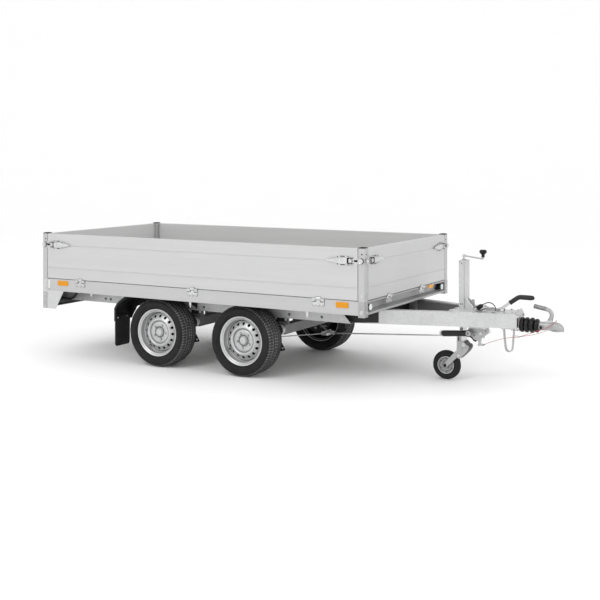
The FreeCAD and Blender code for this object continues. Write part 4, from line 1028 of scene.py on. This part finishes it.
# --------------------------------------------------------- boards and floor
def side_trim(name, body, sgn):
    """Screwed end profiles, lock rivets and the rubber seal under a side board."""
    m = Mesh()
    y = sgn * HALF_W
    inn = -sgn
    for x in (-51.0, -BED_L + 51.0):
        d = -1 if x > -100 else 1
        for z in (650, 760, 870, 972):
            m.dome((x + d * 9, y + inn * BOARD_T, z), (0, inn, 0), 3.4, 1.6, "zinc_dark", 12)
    y0, y1 = sorted((y + inn * 7, y + inn * 17))
    m.box(-BED_L + 53, -53, y0, y1, BOARD_BOT - 3.2, BOARD_BOT, "rubber", 1.0)
    m.make(name, body, 30, slot="aluminium_profile")


side_trim("right_board_trim", "dropside_right", -1)
side_trim("left_board_trim", "dropside_left", 1)
for name, x, inn in (("front", 0.0, -1), ("rear", -BED_L, 1)):
    m = Mesh()
    for y in (-688, 688):
        for z in (650, 760, 870, 972):
            m.dome((x + inn * BOARD_T, y, z), (inn, 0, 0), 3.4, 1.6, "zinc_dark", 12)
    a, b = sorted((x + inn * 7, x + inn * 17))
    m.box(a, b, -695, 695, BOARD_BOT - 3.2, BOARD_BOT, "rubber", 1.0)
    m.make(name + "_board_trim", "dropside_" + name, 30, slot="aluminium_profile")

fl = Mesh()
for x in (-2700.0, -2400.0, -1417.0, -450.0, -115.0):
    for y in (-690, -460, -230, 0, 230, 460, 690):
        fl.turn([(0, -0.4), (2.4, -0.2), (3.2, 0.3), (5.4, 0.7), (6.0, 0.0)], (x, y, 630), (0, 0, 1), "zinc_dark", 14)
for x in (-2480.0, -1450.0, -420.0):           # recessed lashing eyes
    for s in (-1, 1):
        fl.turn([(27, 0), (27.5, 1.0), (26, 1.8), (22, 1.6), (20, 0.4), (0, 0.4)], (x, s * 640, 630), (0, 0, 1), "zinc", 32)
        fl.tube([(x - 13, s * 640, 631.2), (x - 11, s * 640 + 7, 631.8), (x, s * 640 + 12, 632), (x + 11, s * 640 + 7, 631.8),
                 (x + 13, s * 640, 631.2)], 1.8, "zinc", 8, smooth=1)
fl.make("floor_screws_eyes", "chassis", 30, slot="zinc_bright")


# ------------------------------------------------ chassis, axles and guards
ch = Mesh()
for x, zt in ((-2410.0, 506.0), (-1455.0, 487.0), (-455.0, 489.0)):      # gussets under the side rail
    ch.xz([(x - 11, RAIL_BOT + 0.5), (x + 11, RAIL_BOT + 0.5), (x + 5, zt), (x + 1, zt)], -744, -739, "white", 0.6)
for x in (-2466.0, -2414.0, -1690.0, -1500.0, -930.0, -740.0, -470.0):
    ch.hexbolt((x, -495 + 0.2, 457), (0, -1, 0), 11, 5, "zinc_dark", washer=True)
for x in (-2700.0, -2400.0, -1417.0, -450.0):                            # bolts from the bearers into the beams
    ch.hexbolt((x + 6, -470, 540.2), (0, 0, 1), 11, 5, "zinc_dark", washer=True)
for hx in HUB_X:                                                          # bump plates behind the tyres
    tx = hx + 215
    ch.xz([(tx - 20, 262), (tx + 26, 243), (tx + 56, 196), (tx + 48, 188), (tx - 12, 176), (tx - 30, 200)], -502, -497, "steel_black", 0.8)
    ch.hexbolt((tx + 34, -501.8, 205), (0, -1, 0), 8, 4, "zinc")
    ch.slab([(-56, 0), (56, 0), (42, -30), (-42, -30)], (tx, -470, 427), (1, 0, 0), (0, 0, 1), (0, -1, 0), 6, "steel_black", 0.8)
    for x in (tx - 44, tx + 44):
        ch.hexbolt((x, -466, 426.6), (0, 0, -1), 13, 7, "zinc", washer=True)
        ch.hexbolt((x, -475.8, 414), (0, -1, 0), 11, 5, "zinc")
    ch.turn([(0, 3), (34, 3), (36, 1.5), (36, 0)], (tx, -496, 335), (0, -1, 0), "zinc_dark", 32)
    ch.hexbolt((tx, -498.6, 335), (0, -1, 0), 22, 3.0, "zinc_dark")
Mesh().mirror(ch).make("chassis_fixings", "chassis", 30, slot="zinc_bright")

sw = Mesh()
for hx in HUB_X:
    tx = hx + 215
    one = Mesh()
    arm = capsule(tx, 335, hx, 262, 40, 34, 14)
    one.slab(arm, (0, -466, 0), (1, 0, 0), (0, 0, 1), (0, -1, 0), 30, "galv", 3.0)
    one.slab(capsule(tx - 34, 323.5, hx + 40, 275.6, 20, 15, 10), (0, -465.2, 0), (1, 0, 0), (0, 0, 1), (0, 1, 0), 2.4, "galv", 1.0)
    o = (hx, 0, 262)
    one.turn([(0, -494), (30, -494), (30, -510), (60, -510), (66, -512.5), (88, -512.5), (94, -510), (112, -510), (116, -511.2), (118, -513),
              (118, -518), (0, -518)], o, (0, 1, 0), "steel_black", 56)
    one.turn([(0, -517), (22, -517), (22, -600), (20, -623), (0, -623)], o, (0, 1, 0), "zinc_dark", 24)
    one.turn([(0, -462), (17, -462), (20, -464), (22, -467), (0, -467)], o, (0, 1, 0), "zinc", 24)
    one.hexbolt((hx, -463, 262), (0, 1, 0), 24, 9, "zinc")
    for a in (30, 100, 170, 250, 320):
        q = math.radians(a)
        one.hexbolt((hx + 76 * math.cos(q), -510.4, 262 + 76 * math.sin(q)), (0, 1, 0), 9, 5, "zinc")
    one.slab([(-18, -66), (18, -66), (14, -40), (-14, -40)], (hx + 34, -504, 262), (1, 0, 0), (0, 0, 1), (0, -1, 0), 6, "zinc_dark", 0.8)
    one.cyl((hx + 52, -500, 212), (hx + 86, -496, 216), 8, "zinc", 16, 1)
    one.cyl((hx + 84, -496, 216), (hx + 96, -495, 217), 5, "zinc_dark", 12, 0.6)
    sw.merge(one)
Mesh().mirror(sw).make("swing_arms_hubs", "chassis", 32, replaces=("swing_arms",), slot="galvanised")


gd = Mesh()
for x0, x1, y in ((-2197.0, -2189.0, -682.0), (-2197.0, -2189.0, -566.0)):
    gd.turn([(0, 3.2), (4.0, 3.0), (6.4, 1.6), (8.2, 0.4), (8.2, -0.4), (0, -0.4)], (x1, y, 350), (1, 0, 0), "zinc", 20)
    gd.hexbolt((-2201.2, y, 350), (-1, 0, 0), 10, 5, "zinc_dark")
for x in (-1870.0, -1560.0, -1290.0, -880.0):
    for y in (-560, -660):
        gd.dome((x, y, 607.6), (0, 0, -1), 6.5, 3.5, "zinc_dark", 14)
gd.yz(rounded(-706, -534, 356, 368, 3), -2189.2, -2187.4, "plastic", 0.6)
for y in (-660, -620, -580):
    gd.yz([(y - 1.4, 150), (y + 1.4, 150), (y + 1.4, 350), (y - 1.4, 350)], -2189.2, -2188.0, "rubber", 0.4)
Mesh().mirror(gd).make("guard_fixings", "chassis", 30, slot="black_plastic")

# wiring conduit of the tail lamps: from the lamp panel up behind the rail
wc = Mesh()
run = [(-2884, -606, 455), (-2874, -590, 452), (-2866, -566, 446), (-2858, -542, 440), (-2842, -520, 434), (-2815, -509, 436),
       (-2788, -505, 456), (-2768, -505, 480), (-2752, -506, 505), (-2740, -510, 534)]
wc.tube(run, [9, 12.5, 13.5, 12.5, 9.5, 8.5, 8.5, 8.5, 8.5, 8.5], "lead", 12, smooth=2)
Mesh().mirror(wc).make("tail_conduits", "chassis", 40, slot="rubber_black")


# ---------------------------------------------------------------- drawbar
def bellows_detail():
    """Rubber gaiter: four glossy folds between two clamp bands."""
    m = Mesh()
    rows = [(850, 30), (850, 41), (852, 43)]
    for xc, r in ((866, 53), (899, 54), (936, 54), (970, 48)):
        for k in range(-5, 6):
            a = k / 5 * math.pi / 2
            rows.append((xc + 15.5 * math.sin(a), r - 21 * (1 - math.cos(a)) ** 1.25))
    rows += [(984, 34), (984, 27)]
    m.turn([(r, x) for x, r in rows], (0, 0, SHAFT_Z), (1, 0, 0), "plastic_gloss", 72)
    m.turn([(44, 849.6), (45.6, 850), (45.6, 853.6), (44, 854)], (0, 0, SHAFT_Z), (1, 0, 0), "galv_mid", 60)
    m.turn([(36, 978), (37.4, 978.6), (37.4, 983.4), (34, 984.2)], (0, 0, SHAFT_Z), (1, 0, 0), "zinc", 60)
    m.make("gaiter_detail", "chassis", 60, replaces=("bellows",), slot="rubber_black")


def coupling_detail():
    """Cast coupling head with its clamp bolt, and the ribbed lifting handle."""
    m = Mesh()
    rows = [(986, 27, 27, 440), (996, 31, 30, 440), (1010, 30, 30, 440), (1030, 27, 28, 441), (1050, 27, 29, 442), (1070, 32, 30, 442),
            (1090, 38, 31, 441), (1108, 40, 31, 440), (1126, 39, 29, 437), (1141, 33, 24, 431), (1151, 24, 18, 425), (1157, 12, 10, 419)]
    secs = []
    for x, hy, hz, zc in rows:
        ring = []
        for k in range(28):
            a = 2 * math.pi * k / 28
            c, q = math.cos(a), math.sin(a)
            y = hy * (abs(c) ** 0.75) * (1 if c >= 0 else -1)
            z = hz * (abs(q) ** 0.75) * (1 if q >= 0 else -1)
            ring.append(Vector((x, y, max(zc + z, 411.5))))
        secs.append(ring)
    m.loft(secs, "galv_mid")
    m.xz([(1034, 462), (1078, 466), (1077, 482), (1070, 492), (1048, 492), (1040, 480)], -15, 15, "galv", 2.5)
    m.xz([(996, 464), (1040, 468), (1042, 474), (998, 470)], -9, 9, "galv", 1.5)
    for sg in (-1, 1):
        m.turn([(0, 27), (17, 27), (17.5, 30), (16, 33), (12.5, 33.4), (12, 31)], (1004, 0, 434), (0, sg, 0), "zinc", 32)
        m.hexbolt((1004, sg * 31.5, 434), (0, sg, 0), 17, 8, "steel_black")
        m.turn([(0, 33), (7, 33), (7.4, 36), (6, 38.4), (0, 38.8)], (1092, 0, 452), (0, sg, 0), "galv_mid", 24)
        m.xz([(1120, 416), (1150, 416), (1146, 423), (1122, 424)], min(sg * 30, sg * 37), max(sg * 30, sg * 37), "galv_mid", 2.0)
    m.turn([(36, 411.6), (39, 411), (40.5, 413), (40.5, 418), (38, 420)], (1108, 0, 0), (0, 0, 1), "galv_mid", 44)
    m.make("coupling_head_detail", "chassis", 38, replaces=("coupling_head",), slot="galvanised")
    h = Mesh()
    path = [(1060, 0, 480), (1070, 0, 500), (1074, 0, 522), (1066, 0, 544), (1046, 0, 556), (1020, 0, 563), (985, 0, 569), (948, 0, 575)]
    h.tube(path, [15, 15, 14.5, 14.5, 14.5, 14.5, 14.5, 14], "galv_mid", 22, smooth=2)
    d = Vector((-1, 0, 0.17)).normalized()
    for k in range(9):                         # ribs of the hand grip
        p = Vector((1030, 0, 560.6)) + d * (k * 9.4)
        h.turn([(14.0, -2.8), (16.4, -1.4), (16.4, 1.4), (14.0, 2.8)], p, d, "zinc_dark", 24)
    h.turn([(0, 3), (10, 2.4), (14.5, 0), (14.5, -3)], (948, 0, 575), d, "zinc_dark", 24)
    h.turn([(15.2, -2), (17.6, -1), (17.6, 5), (15, 6)], (1061, 0, 484), (0.3, 0, 1), "galv_mid", 24)
    h.make("coupling_handle_detail", "chassis", 40, replaces=("coupling_handle",), slot="zinc_bright")


def handbrake_detail():
    m = Mesh()
    d = Vector((62.6, 0, 45.1)).normalized()
    up = Vector((-d.z, 0, d.x))
    a, b = Vector((712, -30, 539)), Vector((786, -30, 592.3))
    for y in (-36, -27):                       # flat bar folded to a channel
        m.slab([(-12, -11), (0, -13), ((b - a).length, -12), ((b - a).length, 12), (0, 13), (-12, 11)], (a.x, y, a.z), d, up, (0, 1, 0), 3,
               "zinc", 0.5)
    m.slab([(-6, -36), (88, -36), (88, -24), (-6, -24)], (a.x, 0, a.z), d, (0, 1, 0), up, 3, "zinc", 0.5)
    m.box(690, 742, -44, -41, 525, 548, "zinc", 0.5)
    m.box(690, 742, -19, -16, 525, 548, "zinc", 0.5)
    m.box(690, 742, -44, -16, 525, 528, "zinc", 0.5)
    m.cyl((712, -46, 539), (712, -14, 539), 6.5, "zinc_dark", 20)
    m.make("handbrake_lever_detail", "chassis", 30, replaces=("handbrake_lever",), slot="zinc_bright")
    g = Mesh()
    path = [(785, -30, 591), (804, -30, 604.2), (826, -30, 619.5), (840, -30, 629), (856, -30, 634.6), (880, -30, 635), (912, -30, 634.4),
            (940, -30, 634), (954, -30, 634), (960, -30, 634)]
    g.tube(path, [15.5, 15.8, 16.2, 16.5, 16.5, 16.8, 17.2, 17.0, 13.5, 4.0], "rubber", 24, smooth=2)
    for k in range(5):                         # finger ribs under the grip
        g.tube([(872 + 15 * k, -42, 622), (872 + 15 * k, -30, 616.6), (872 + 15 * k, -18, 622)], 2.2, "rubber", 8, smooth=1)
    g.turn([(16.8, -1), (17.6, 0), (17.6, 4), (16.2, 5)], (785, -30, 591), d, "rubber", 24)
    g.make("handbrake_grip_detail", "chassis", 50, replaces=("handbrake_grip",), slot="rubber_black")


def jockey_detail():
    """Crank with its knob, fork leg, knee joint and the wheel's arm."""
    c = Mesh()
    c.cyl((431, 0, 872), (431, 0, 878), 17, "galv_mid", 28, 1.0)
    c.cyl((431, 0, 876), (431, 0, 899), 8.5, "zinc", 20, 1.0)
    c.box(420, 442, -10, 10, 894, 909, "zinc", 1.6)
    c.hexbolt((431, 0, 908.5), (0, 0, 1), 11, 3.5, "zinc")
    c.tube([(438, 0, 903), (450, 0, 900.2), (500, 0, 894.6), (556, 0, 888.2), (570, 0, 886.4), (574, 0, 889), (574, 0, 899)], 5.2, "galv_mid",
           14, smooth=2)
    c.make("crank_detail", "chassis", 35, replaces=("jockey_crank",), slot="zinc_bright")
    k = Mesh()
    k.turn([(0, 898), (12.5, 898), (13, 899), (11.2, 907), (11.4, 915), (15, 921), (22, 926), (25.6, 932), (26, 940), (24.4, 946.4), (20, 950.4),
            (10, 951.6), (0, 951.8)], (574, 0, 0), (0, 0, 1), "plastic", 40)
    k.make("crank_knob_detail", "chassis", 50, replaces=("crank_knob",), slot="black_plastic")
    f = Mesh()
    for x, z, r in ((418, 862, 3.2), (431, 852, 3.2), (424, 560, 3.6), (438, 560, 3.6)):
        f.turn([(r, 0), (r + 0.6, 0.3), (r, 0.6), (0, 0.6)], (x, -50, z), (0, -1, 0), "steel_black", 16)
    f.box(447, 452.4, -50.8, -49.9, 530, 866, "galv_mid", 0.3)
    f.xz([(453, 526), (520, 526), (512, 536), (462, 596), (453, 600)], -44, -38.5, "galv", 0.8)
    f.slab([(0, -52), (0, -30), (84, -30), (84, -52)], (458, 0, 602), Vector((0.66, 0, -0.75)), (0, 1, 0), Vector((0.75, 0, 0.66)), 3, "zinc", 0.5)
    f.xz(rounded(480, 504, 566, 590, 9, 4), 18, 24, "galv", 1.0)
    f.box(458, 504, 16, 26, 526, 572, "galv", 1.0)
    for x, y in ((398, -180), (398, 180), (540, -150), (540, 150), (398, -80), (398, 80), (540, -76), (540, 76)):
        f.hexbolt((x, y, 526), (0, 0, 1), 15, 8, "zinc")
    f.make("post_fixings", "chassis", 30, slot="galvanised")
    g = Mesh()
    g.box(413, 437, -40, 40, 272, 640, "zinc", 2.0)
    plate = [(391, 225), (391.5, 262), (392, 328), (421, 328), (421, 292), (446, 290), (450, 272), (476, 265), (482, 257), (483, 248),
             (475, 230), (463, 213), (434, 184), (411, 165), (404, 163), (392, 172), (388, 184)]
    for y0, y1 in ((-46, -42), (42, 46)):
        g.xz(plate, y0, y1, "galv_mid", 1.0)
    for sg in (-1, 1):
        s0 = sg * 46
        g.xz([(403, 292), (411, 292), (411, 324), (403, 324)], min(s0, s0 + sg * 0.8), max(s0, s0 + sg * 0.8), "steel_black", 0.2)
        g.cyl((425, s0, 232), (425, s0 + sg * 6, 232), 11, "galv_mid", 24, 1.2)
        g.hexbolt((446, s0, 268), (0, sg, 0), 13, 6, "zinc")
        g.hexbolt((461, s0, 246), (0, sg, 0), 10, 5, "galv_mid")
        g.hexbolt((404, s0, 186), (0, sg, 0), 10, 5, "zinc")
    edge = [(446, 286), (454, 274), (468, 268.5), (478, 262), (483.6, 250), (479, 236), (462, 211), (434, 183), (411, 162)]
    g.loft([[Vector((x, y, z)) for x, z in edge] + [Vector((x * 0.988 + 4.6, y, z * 0.988 + 2.6)) for x, z in edge[::-1]] for y in (-40, 40)],
           "steel_black")
    g.make("jockey_leg_detail", "jockey_slider", 30, replaces=("jockey_leg",), slot="zinc_bright")
    a = Mesh()
    k0, k1 = Vector((425, 0, 232)), Vector((299, 0, 105))
    d = (k1 - k0).normalized()
    n = Vector((-d.z, 0, d.x))
    L = (k1 - k0).length
    bar = [(-20, -8), (-12, -18), (0, -21.5), (L, -17), (L + 12, -12), (L + 17, 0), (L + 12, 12), (L, 17), (0, 21.5), (-12, 18), (-20, 8)]
    for y in (-37.5, 33.5):
        a.slab(bar, (k0.x, y, k0.z), d, n, (0, 1, 0), 4, "galv_mid", 0.8)
    for y, t in ((-38.6, 1.2), (37.4, 1.2)):   # bright collar where the arm leaves the knee
        a.slab([(26, -20.5), (46, -19.5), (46, 19.5), (26, 20.5)], (k0.x, y, k0.z), d, n, (0, 1, 0), t, "white", 0.4)
    a.xz([(381, 184.7), (391.5, 194.1), (383.5, 203.1), (373, 193.7)], -36, 36, "galv_mid", 0.8)
    for sg in (-1, 1):
        a.turn([(0, 37), (14, 37), (14.5, 39), (12, 41.5), (0, 41.6)], (299, 0, 105), (0, sg, 0), "zinc", 28)
        a.hexbolt((299, sg * 41, 105), (0, sg, 0), 13, 3.4, "steel_black")
    a.cyl((299, -38, 105), (299, 38, 105), 7.8, "zinc", 20)
    a.make("jockey_arm_detail", "jockey_fork", 30, replaces=("jockey_arm",), slot="zinc_bright")


def relay_detail():
    """Overrun relay under the drawbar: plate with lightening holes, emergency lever with its grip, wire clevis."""
    m = Mesh()
    plate = [(484, 345), (484, 380), (500, 396), (520, 412), (646, 412), (648, 372), (630, 360), (616, 349), (603, 338), (594, 330), (591, 312),
             (590, 296), (611, 293), (611, 281), (566, 277), (566, 289), (571, 296), (568, 308), (562, 316), (556, 318), (548, 307), (542, 306),
             (536, 312), (520, 335), (500, 340)]
    m.xz(plate, -88, -83, "galv_mid", 0.9)
    m.box(500, 646, -150, -60, 412, 419.8, "galv", 0.8)
    m.box(500, 646, 60, 150, 412, 419.8, "galv", 0.8)
    m.xz([(505, 412), (562, 412), (556, 306), (528, 306)], 80, 86, "galv", 0.8)
    for x, z, r, mt in ((560, 366, 9, "galv_mid"), (600, 372, 6, "galv_mid"), (624, 386, 4, "zinc_dark"), (540, 348, 4, "zinc_dark"),
                        (536, 388, 6, "galv_mid")):
        m.turn([(r, 0), (r + 1.2, 0.6), (r, 1.1), (0, 0.7)], (x, -88, z), (0, -1, 0), mt, 20)
    m.cyl((588, -94, 366), (588, -80, 366), 11.5, "zinc", 24, 1.2)
    for x in (515, 570, 625):
        m.hexbolt((x, -120, 412), (0, 0, -1), 13, 6, "zinc")
    m.tube([(606, -84, 286.5), (612, -84.6, 288), (618, -85, 293)], 3.2, "zinc_dark", 12)
    m.tube([(640, -90, 404), (656, -92, 398), (662, -92, 384), (654, -92, 374), (646, -92, 380)], 3.0, "zinc", 10, smooth=2)
    m.loft([[Vector((x, y, z)) for x, z in ((497, 338), (520, 328), (534, 310), (550, 304), (560, 312), (552, 316), (538, 318), (524, 336), (500, 345))]
            for y in (-90, -80)], "steel_black")
    m.make("relay_detail", "chassis", 30, replaces=("relay_plate",), slot="zinc_bright")
    v = Mesh()
    v.xz(capsule(507, 365, 474, 363, 20, 15), -102, -98, "zinc", 0.8)
    v.turn([(0, 102), (12, 102), (22, 102.4), (23.5, 104), (23.5, 128), (20, 130.6), (9, 131), (8, 129), (0, 129)], (511, 0, 365), (0, -1, 0),
           "galv_mid", 32)
    v.turn([(21, 131.2), (24.6, 131.6), (24.8, 133.0), (21, 133.2)], (511, 0, 365), (0, -1, 0), "steel_black", 32)
    v.cyl((507, -98, 365), (507, -88, 365), 9, "zinc_dark", 20)
    path = [(500, -115, 381), (400, -115, 374.5), (320, -115, 368.6), (302, -115, 365), (291.5, -115, 356), (291.5, -115, 344), (301, -115, 335),
            (320, -115, 332), (372, -115, 336)]
    v.tube(path, 5.0, "zinc", 14, smooth=2)
    v.make("release_lever_detail", "chassis", 34, replaces=("release_lever",), slot="zinc_bright")
    g = Mesh()
    g.xz(capsule(322, 350.5, 500, 364.5, 20.5, 19.5), -129, -101, "rubber", 8.0)
    for z in (346, 356):
        g.tube([(330, -128.4, z + 0.6), (476, -128.4, z + 11)], 1.1, "rubber", 8)
    g.make("release_grip_detail", "chassis", 40, replaces=("release_grip",), slot="rubber_black")


def rest_loop_detail():
    m = Mesh()
    out = [(738, 412), (749, 290), (753, 268), (760, 253), (770, 247), (780, 245.6), (790, 247), (800, 253), (807, 268), (811, 300), (820, 412)]
    inn = [(813.5, 412), (804.8, 301), (801, 271), (796, 259), (789, 253.4), (780, 252), (771, 253.4), (764, 259), (759.4, 271), (755.4, 291),
           (744.5, 412)]
    m.loft([[Vector((x, y, z)) for x, z in out + inn] for y in (-52.5, -51.5, -24.5, -23.5)], "galv_mid")
    m.box(734, 824, -90, -24, 412, 419.8, "galv", 0.8)
    for x in (748, 812):
        m.hexbolt((x, -74, 412), (0, 0, -1), 13, 6, "zinc")
    m.make("rest_loop_detail", "chassis", 40, replaces=("rest_loop",), slot="galvanised")


def housing_trim():
    m = Mesh()
    for x, y in ((620, -78), (620, 78), (680, -92), (760, -76), (760, 78), (812, -66), (812, 66)):
        m.hexbolt((x, y, 525), (0, 0, 1), 14, 7, "zinc")
    m.box(606, 680, -20, 34, 525, 529, "galv_mid", 0.8)
    m.box(600, 700, -26, -22, 525, 541, "galv_mid", 0.8)
    m.tube([(606, 8, 533), (640, 12, 537), (676, 4, 534), (700, -8, 531)], 3.4, "rubber", 10, smooth=2)
    m.yz([(-86.4, 405), (-62, 405), (-62, 515), (-86.4, 515)], 850, 851.4, "steel_black", 0.3)
    m.yz([(-80, 470), (-70, 470), (-70, 486), (-80, 486)], 851.3, 852.6, "red", 0.3)
    for y, z in ((-74, 500), (-74, 418), (66, 500), (66, 418)):
        m.hexbolt((850.6, y, z), (1, 0, 0), 15, 7, "zinc")
    m.turn([(24, 850.2), (50, 850.2), (50, 851.6), (24, 852)], (0, 0, SHAFT_Z), (1, 0, 0), "galv_mid", 48)
    m.make("housing_trim", "chassis", 30, slot="galvanised")


def bar_lips():
    """Rolled lips and weld beads on the drawbar beams, a dark sheet on each beam's inner web as painted shade, and the
    equaliser's fittings.
    """
    m = Mesh()
    for sg in (-1, 1):
        for x0, x1 in ((-60, 376), (564, 588)):
            def face(x, inset):
                return sg * (335 - 0.30 * x - inset)
            for z0, z1 in ((519.6, 521.6),):
                q = [(x0, face(x0, -0.8)), (x1, face(x1, -0.8)), (x1, face(x1, 5)), (x0, face(x0, 5))]
                m.xy(q, z0, z1, "zinc", 0.4)
                q = [(x0, face(x0, 47)), (x1, face(x1, 47)), (x1, face(x1, 52.6)), (x0, face(x0, 52.6))]
                m.xy(q, z0, z1, "zinc", 0.4)
        def web(x, inset):
            return sg * (335 - 0.30 * x - inset)
        # dark sheet over the inner web: painted shade inside the open profile
        m.xy([(-60, web(-60, 51.8)), (392, web(392, 51.8)), (392, web(392, 53.0)), (-60, web(-60, 53.0))], 427, 511, "galv_dark", 0.3)
        m.xy([(-60, web(-60, 51.8)), (392, web(392, 51.8)), (392, web(392, 55.0)), (-60, web(-60, 55.0))], 511, 519.6, "zinc", 0.5)
    m.make("beam_trim", "chassis", 30, slot="galvanised")
    e = Mesh()
    for y in (15, 135):
        e.hexbolt((-736, y, 248), (0, 0, 1), 13, 7, "zinc")
    e.cyl((-704, 75, 240), (-660, 75, 242.8), 9.5, "zinc", 20, 1.0)
    e.cyl((-660, 75, 242.8), (-640, 75, 244), 7, "zinc_dark", 20, 1.0)
    e.box(-748, -696, 12, 138, 229, 232, "zinc", 0.6)
    e.box(-748, -742, 12, 138, 229, 253, "zinc", 0.6)
    e.make("equaliser_trim", "chassis", 30, slot="zinc_bright")


bellows_detail()
coupling_detail()
handbrake_detail()
jockey_detail()
relay_detail()
rest_loop_detail()
housing_trim()
bar_lips()


# ----------------------------------------- finish of the CAD nodes that stay
KEEP = {
    "alu_x": ["right_board"],
    "alu_far": ["left_board"],
    "alu_rail": ["side_rails"],
    "alu_end": ["end_rails"],
    "alu_y": ["front_board"],
    "alu_rear": ["rear_board"],
    "alu_z": ["corner_posts"],
    # axle tubes and rear lamp panel darkened as painted shade
    "galv_dark": ["axle_tubes", "rear_lamp_panel"],
    "galv_beam": ["chassis_beams"],
    "galv": ["cross_bearers", "drawbar_beams", "overrun_housing", "jockey_post",
             "rear_skirts", "coupling_head", "rest_loop", "relay_plate"],
    "zinc": ["hinge_leaves", "right_board_fittings", "left_board_fittings", "front_board_fittings", "rear_board_fittings",
             "latch_knobs", "jockey_crank", "coupling_handle", "handbrake_lever", "release_lever", "brake_rod", "jockey_arm",
             "jockey_leg", "cable_hook"],
    "steel_black": ["front_crossmember", "drawbar_brackets", "swing_arms"],
    "plastic": ["post_caps", "wheel_guards", "crank_knob", "light_plug"],
    "rubber": ["mud_flaps", "bellows", "handbrake_grip", "release_grip"],
    "amber": ["amber_reflectors"], "white_lens": ["marker_lamps"], "red_lens": ["tail_lamps"], "ply": ["bed_floor"],
}
for key, names in KEEP.items():
    for n in names:
        if n in NODES:
            NODES[n].data.materials.clear()
            NODES[n].data.materials.append(MAT[key])
for n, ob in NODES.items():
    if not ob.data.materials:
        ob.data.materials.append(MAT["galv"])


# ---------------------------------------------------------- floor and light
def backdrop():
    """Pale floor that bends up into a wall far behind."""
    rows = [(-60, 0), (14, 0)]
    rows += [(14 + 10 * math.sin(a), 10 - 10 * math.cos(a)) for a in [math.radians(9 * i) for i in range(1, 11)]]
    rows += [(24, 40)]
    q = math.radians(29.44)
    fw, rt = Vector((-math.sin(q), math.cos(q), 0)), Vector((math.cos(q), math.sin(q), 0))
    verts = []
    for d, h in rows:
        for s in (-60, 60):
            p = fw * d + rt * s
            verts.append((p.x, p.y, h))
    faces = [(2 * i, 2 * i + 1, 2 * i + 3, 2 * i + 2) for i in range(len(rows) - 1)]
    me = bpy.data.meshes.new("floor")
    me.from_pydata(verts, [], faces)
    me.polygons.foreach_set("use_smooth", [True] * len(me.polygons))
    g = G("pale_floor", (0.985, 0.985, 0.985), 0.0, 0.7)
    g.color(g.ramp(g.noise(1.5, None, 2), 0.3, 0.7, (0.982, 0.982, 0.982), (0.988, 0.988, 0.988)))
    me.materials.append(g.m)
    ob = bpy.data.objects.new("floor", me)
    bpy.context.scene.collection.objects.link(ob)


backdrop()
world = bpy.data.worlds.new("studio")
bpy.context.scene.world = world
world.use_nodes = True
bg = world.node_tree.nodes["Background"]
bg.inputs[0].default_value = (1.0, 1.0, 1.0, 1)
bg.inputs[1].default_value = 1.0


def soft_light(name, loc, aim, size, watts):
    li = bpy.data.lights.new(name, "AREA")
    li.shape, li.size, li.energy = "DISK", size, watts
    ob = bpy.data.objects.new(name, li)
    ob.location = loc
    ob.rotation_euler = (Vector(aim) - Vector(loc)).to_track_quat("-Z", "Y").to_euler()
    bpy.context.scene.collection.objects.link(ob)


soft_light("key", (-1.5, -7.5, 6.5), (0.0, 0.0, 0.6), 4.0, 190)
soft_light("side", (7.5, -1.5, 4.0), (0.5, 0.0, 0.6), 3.0, 75)
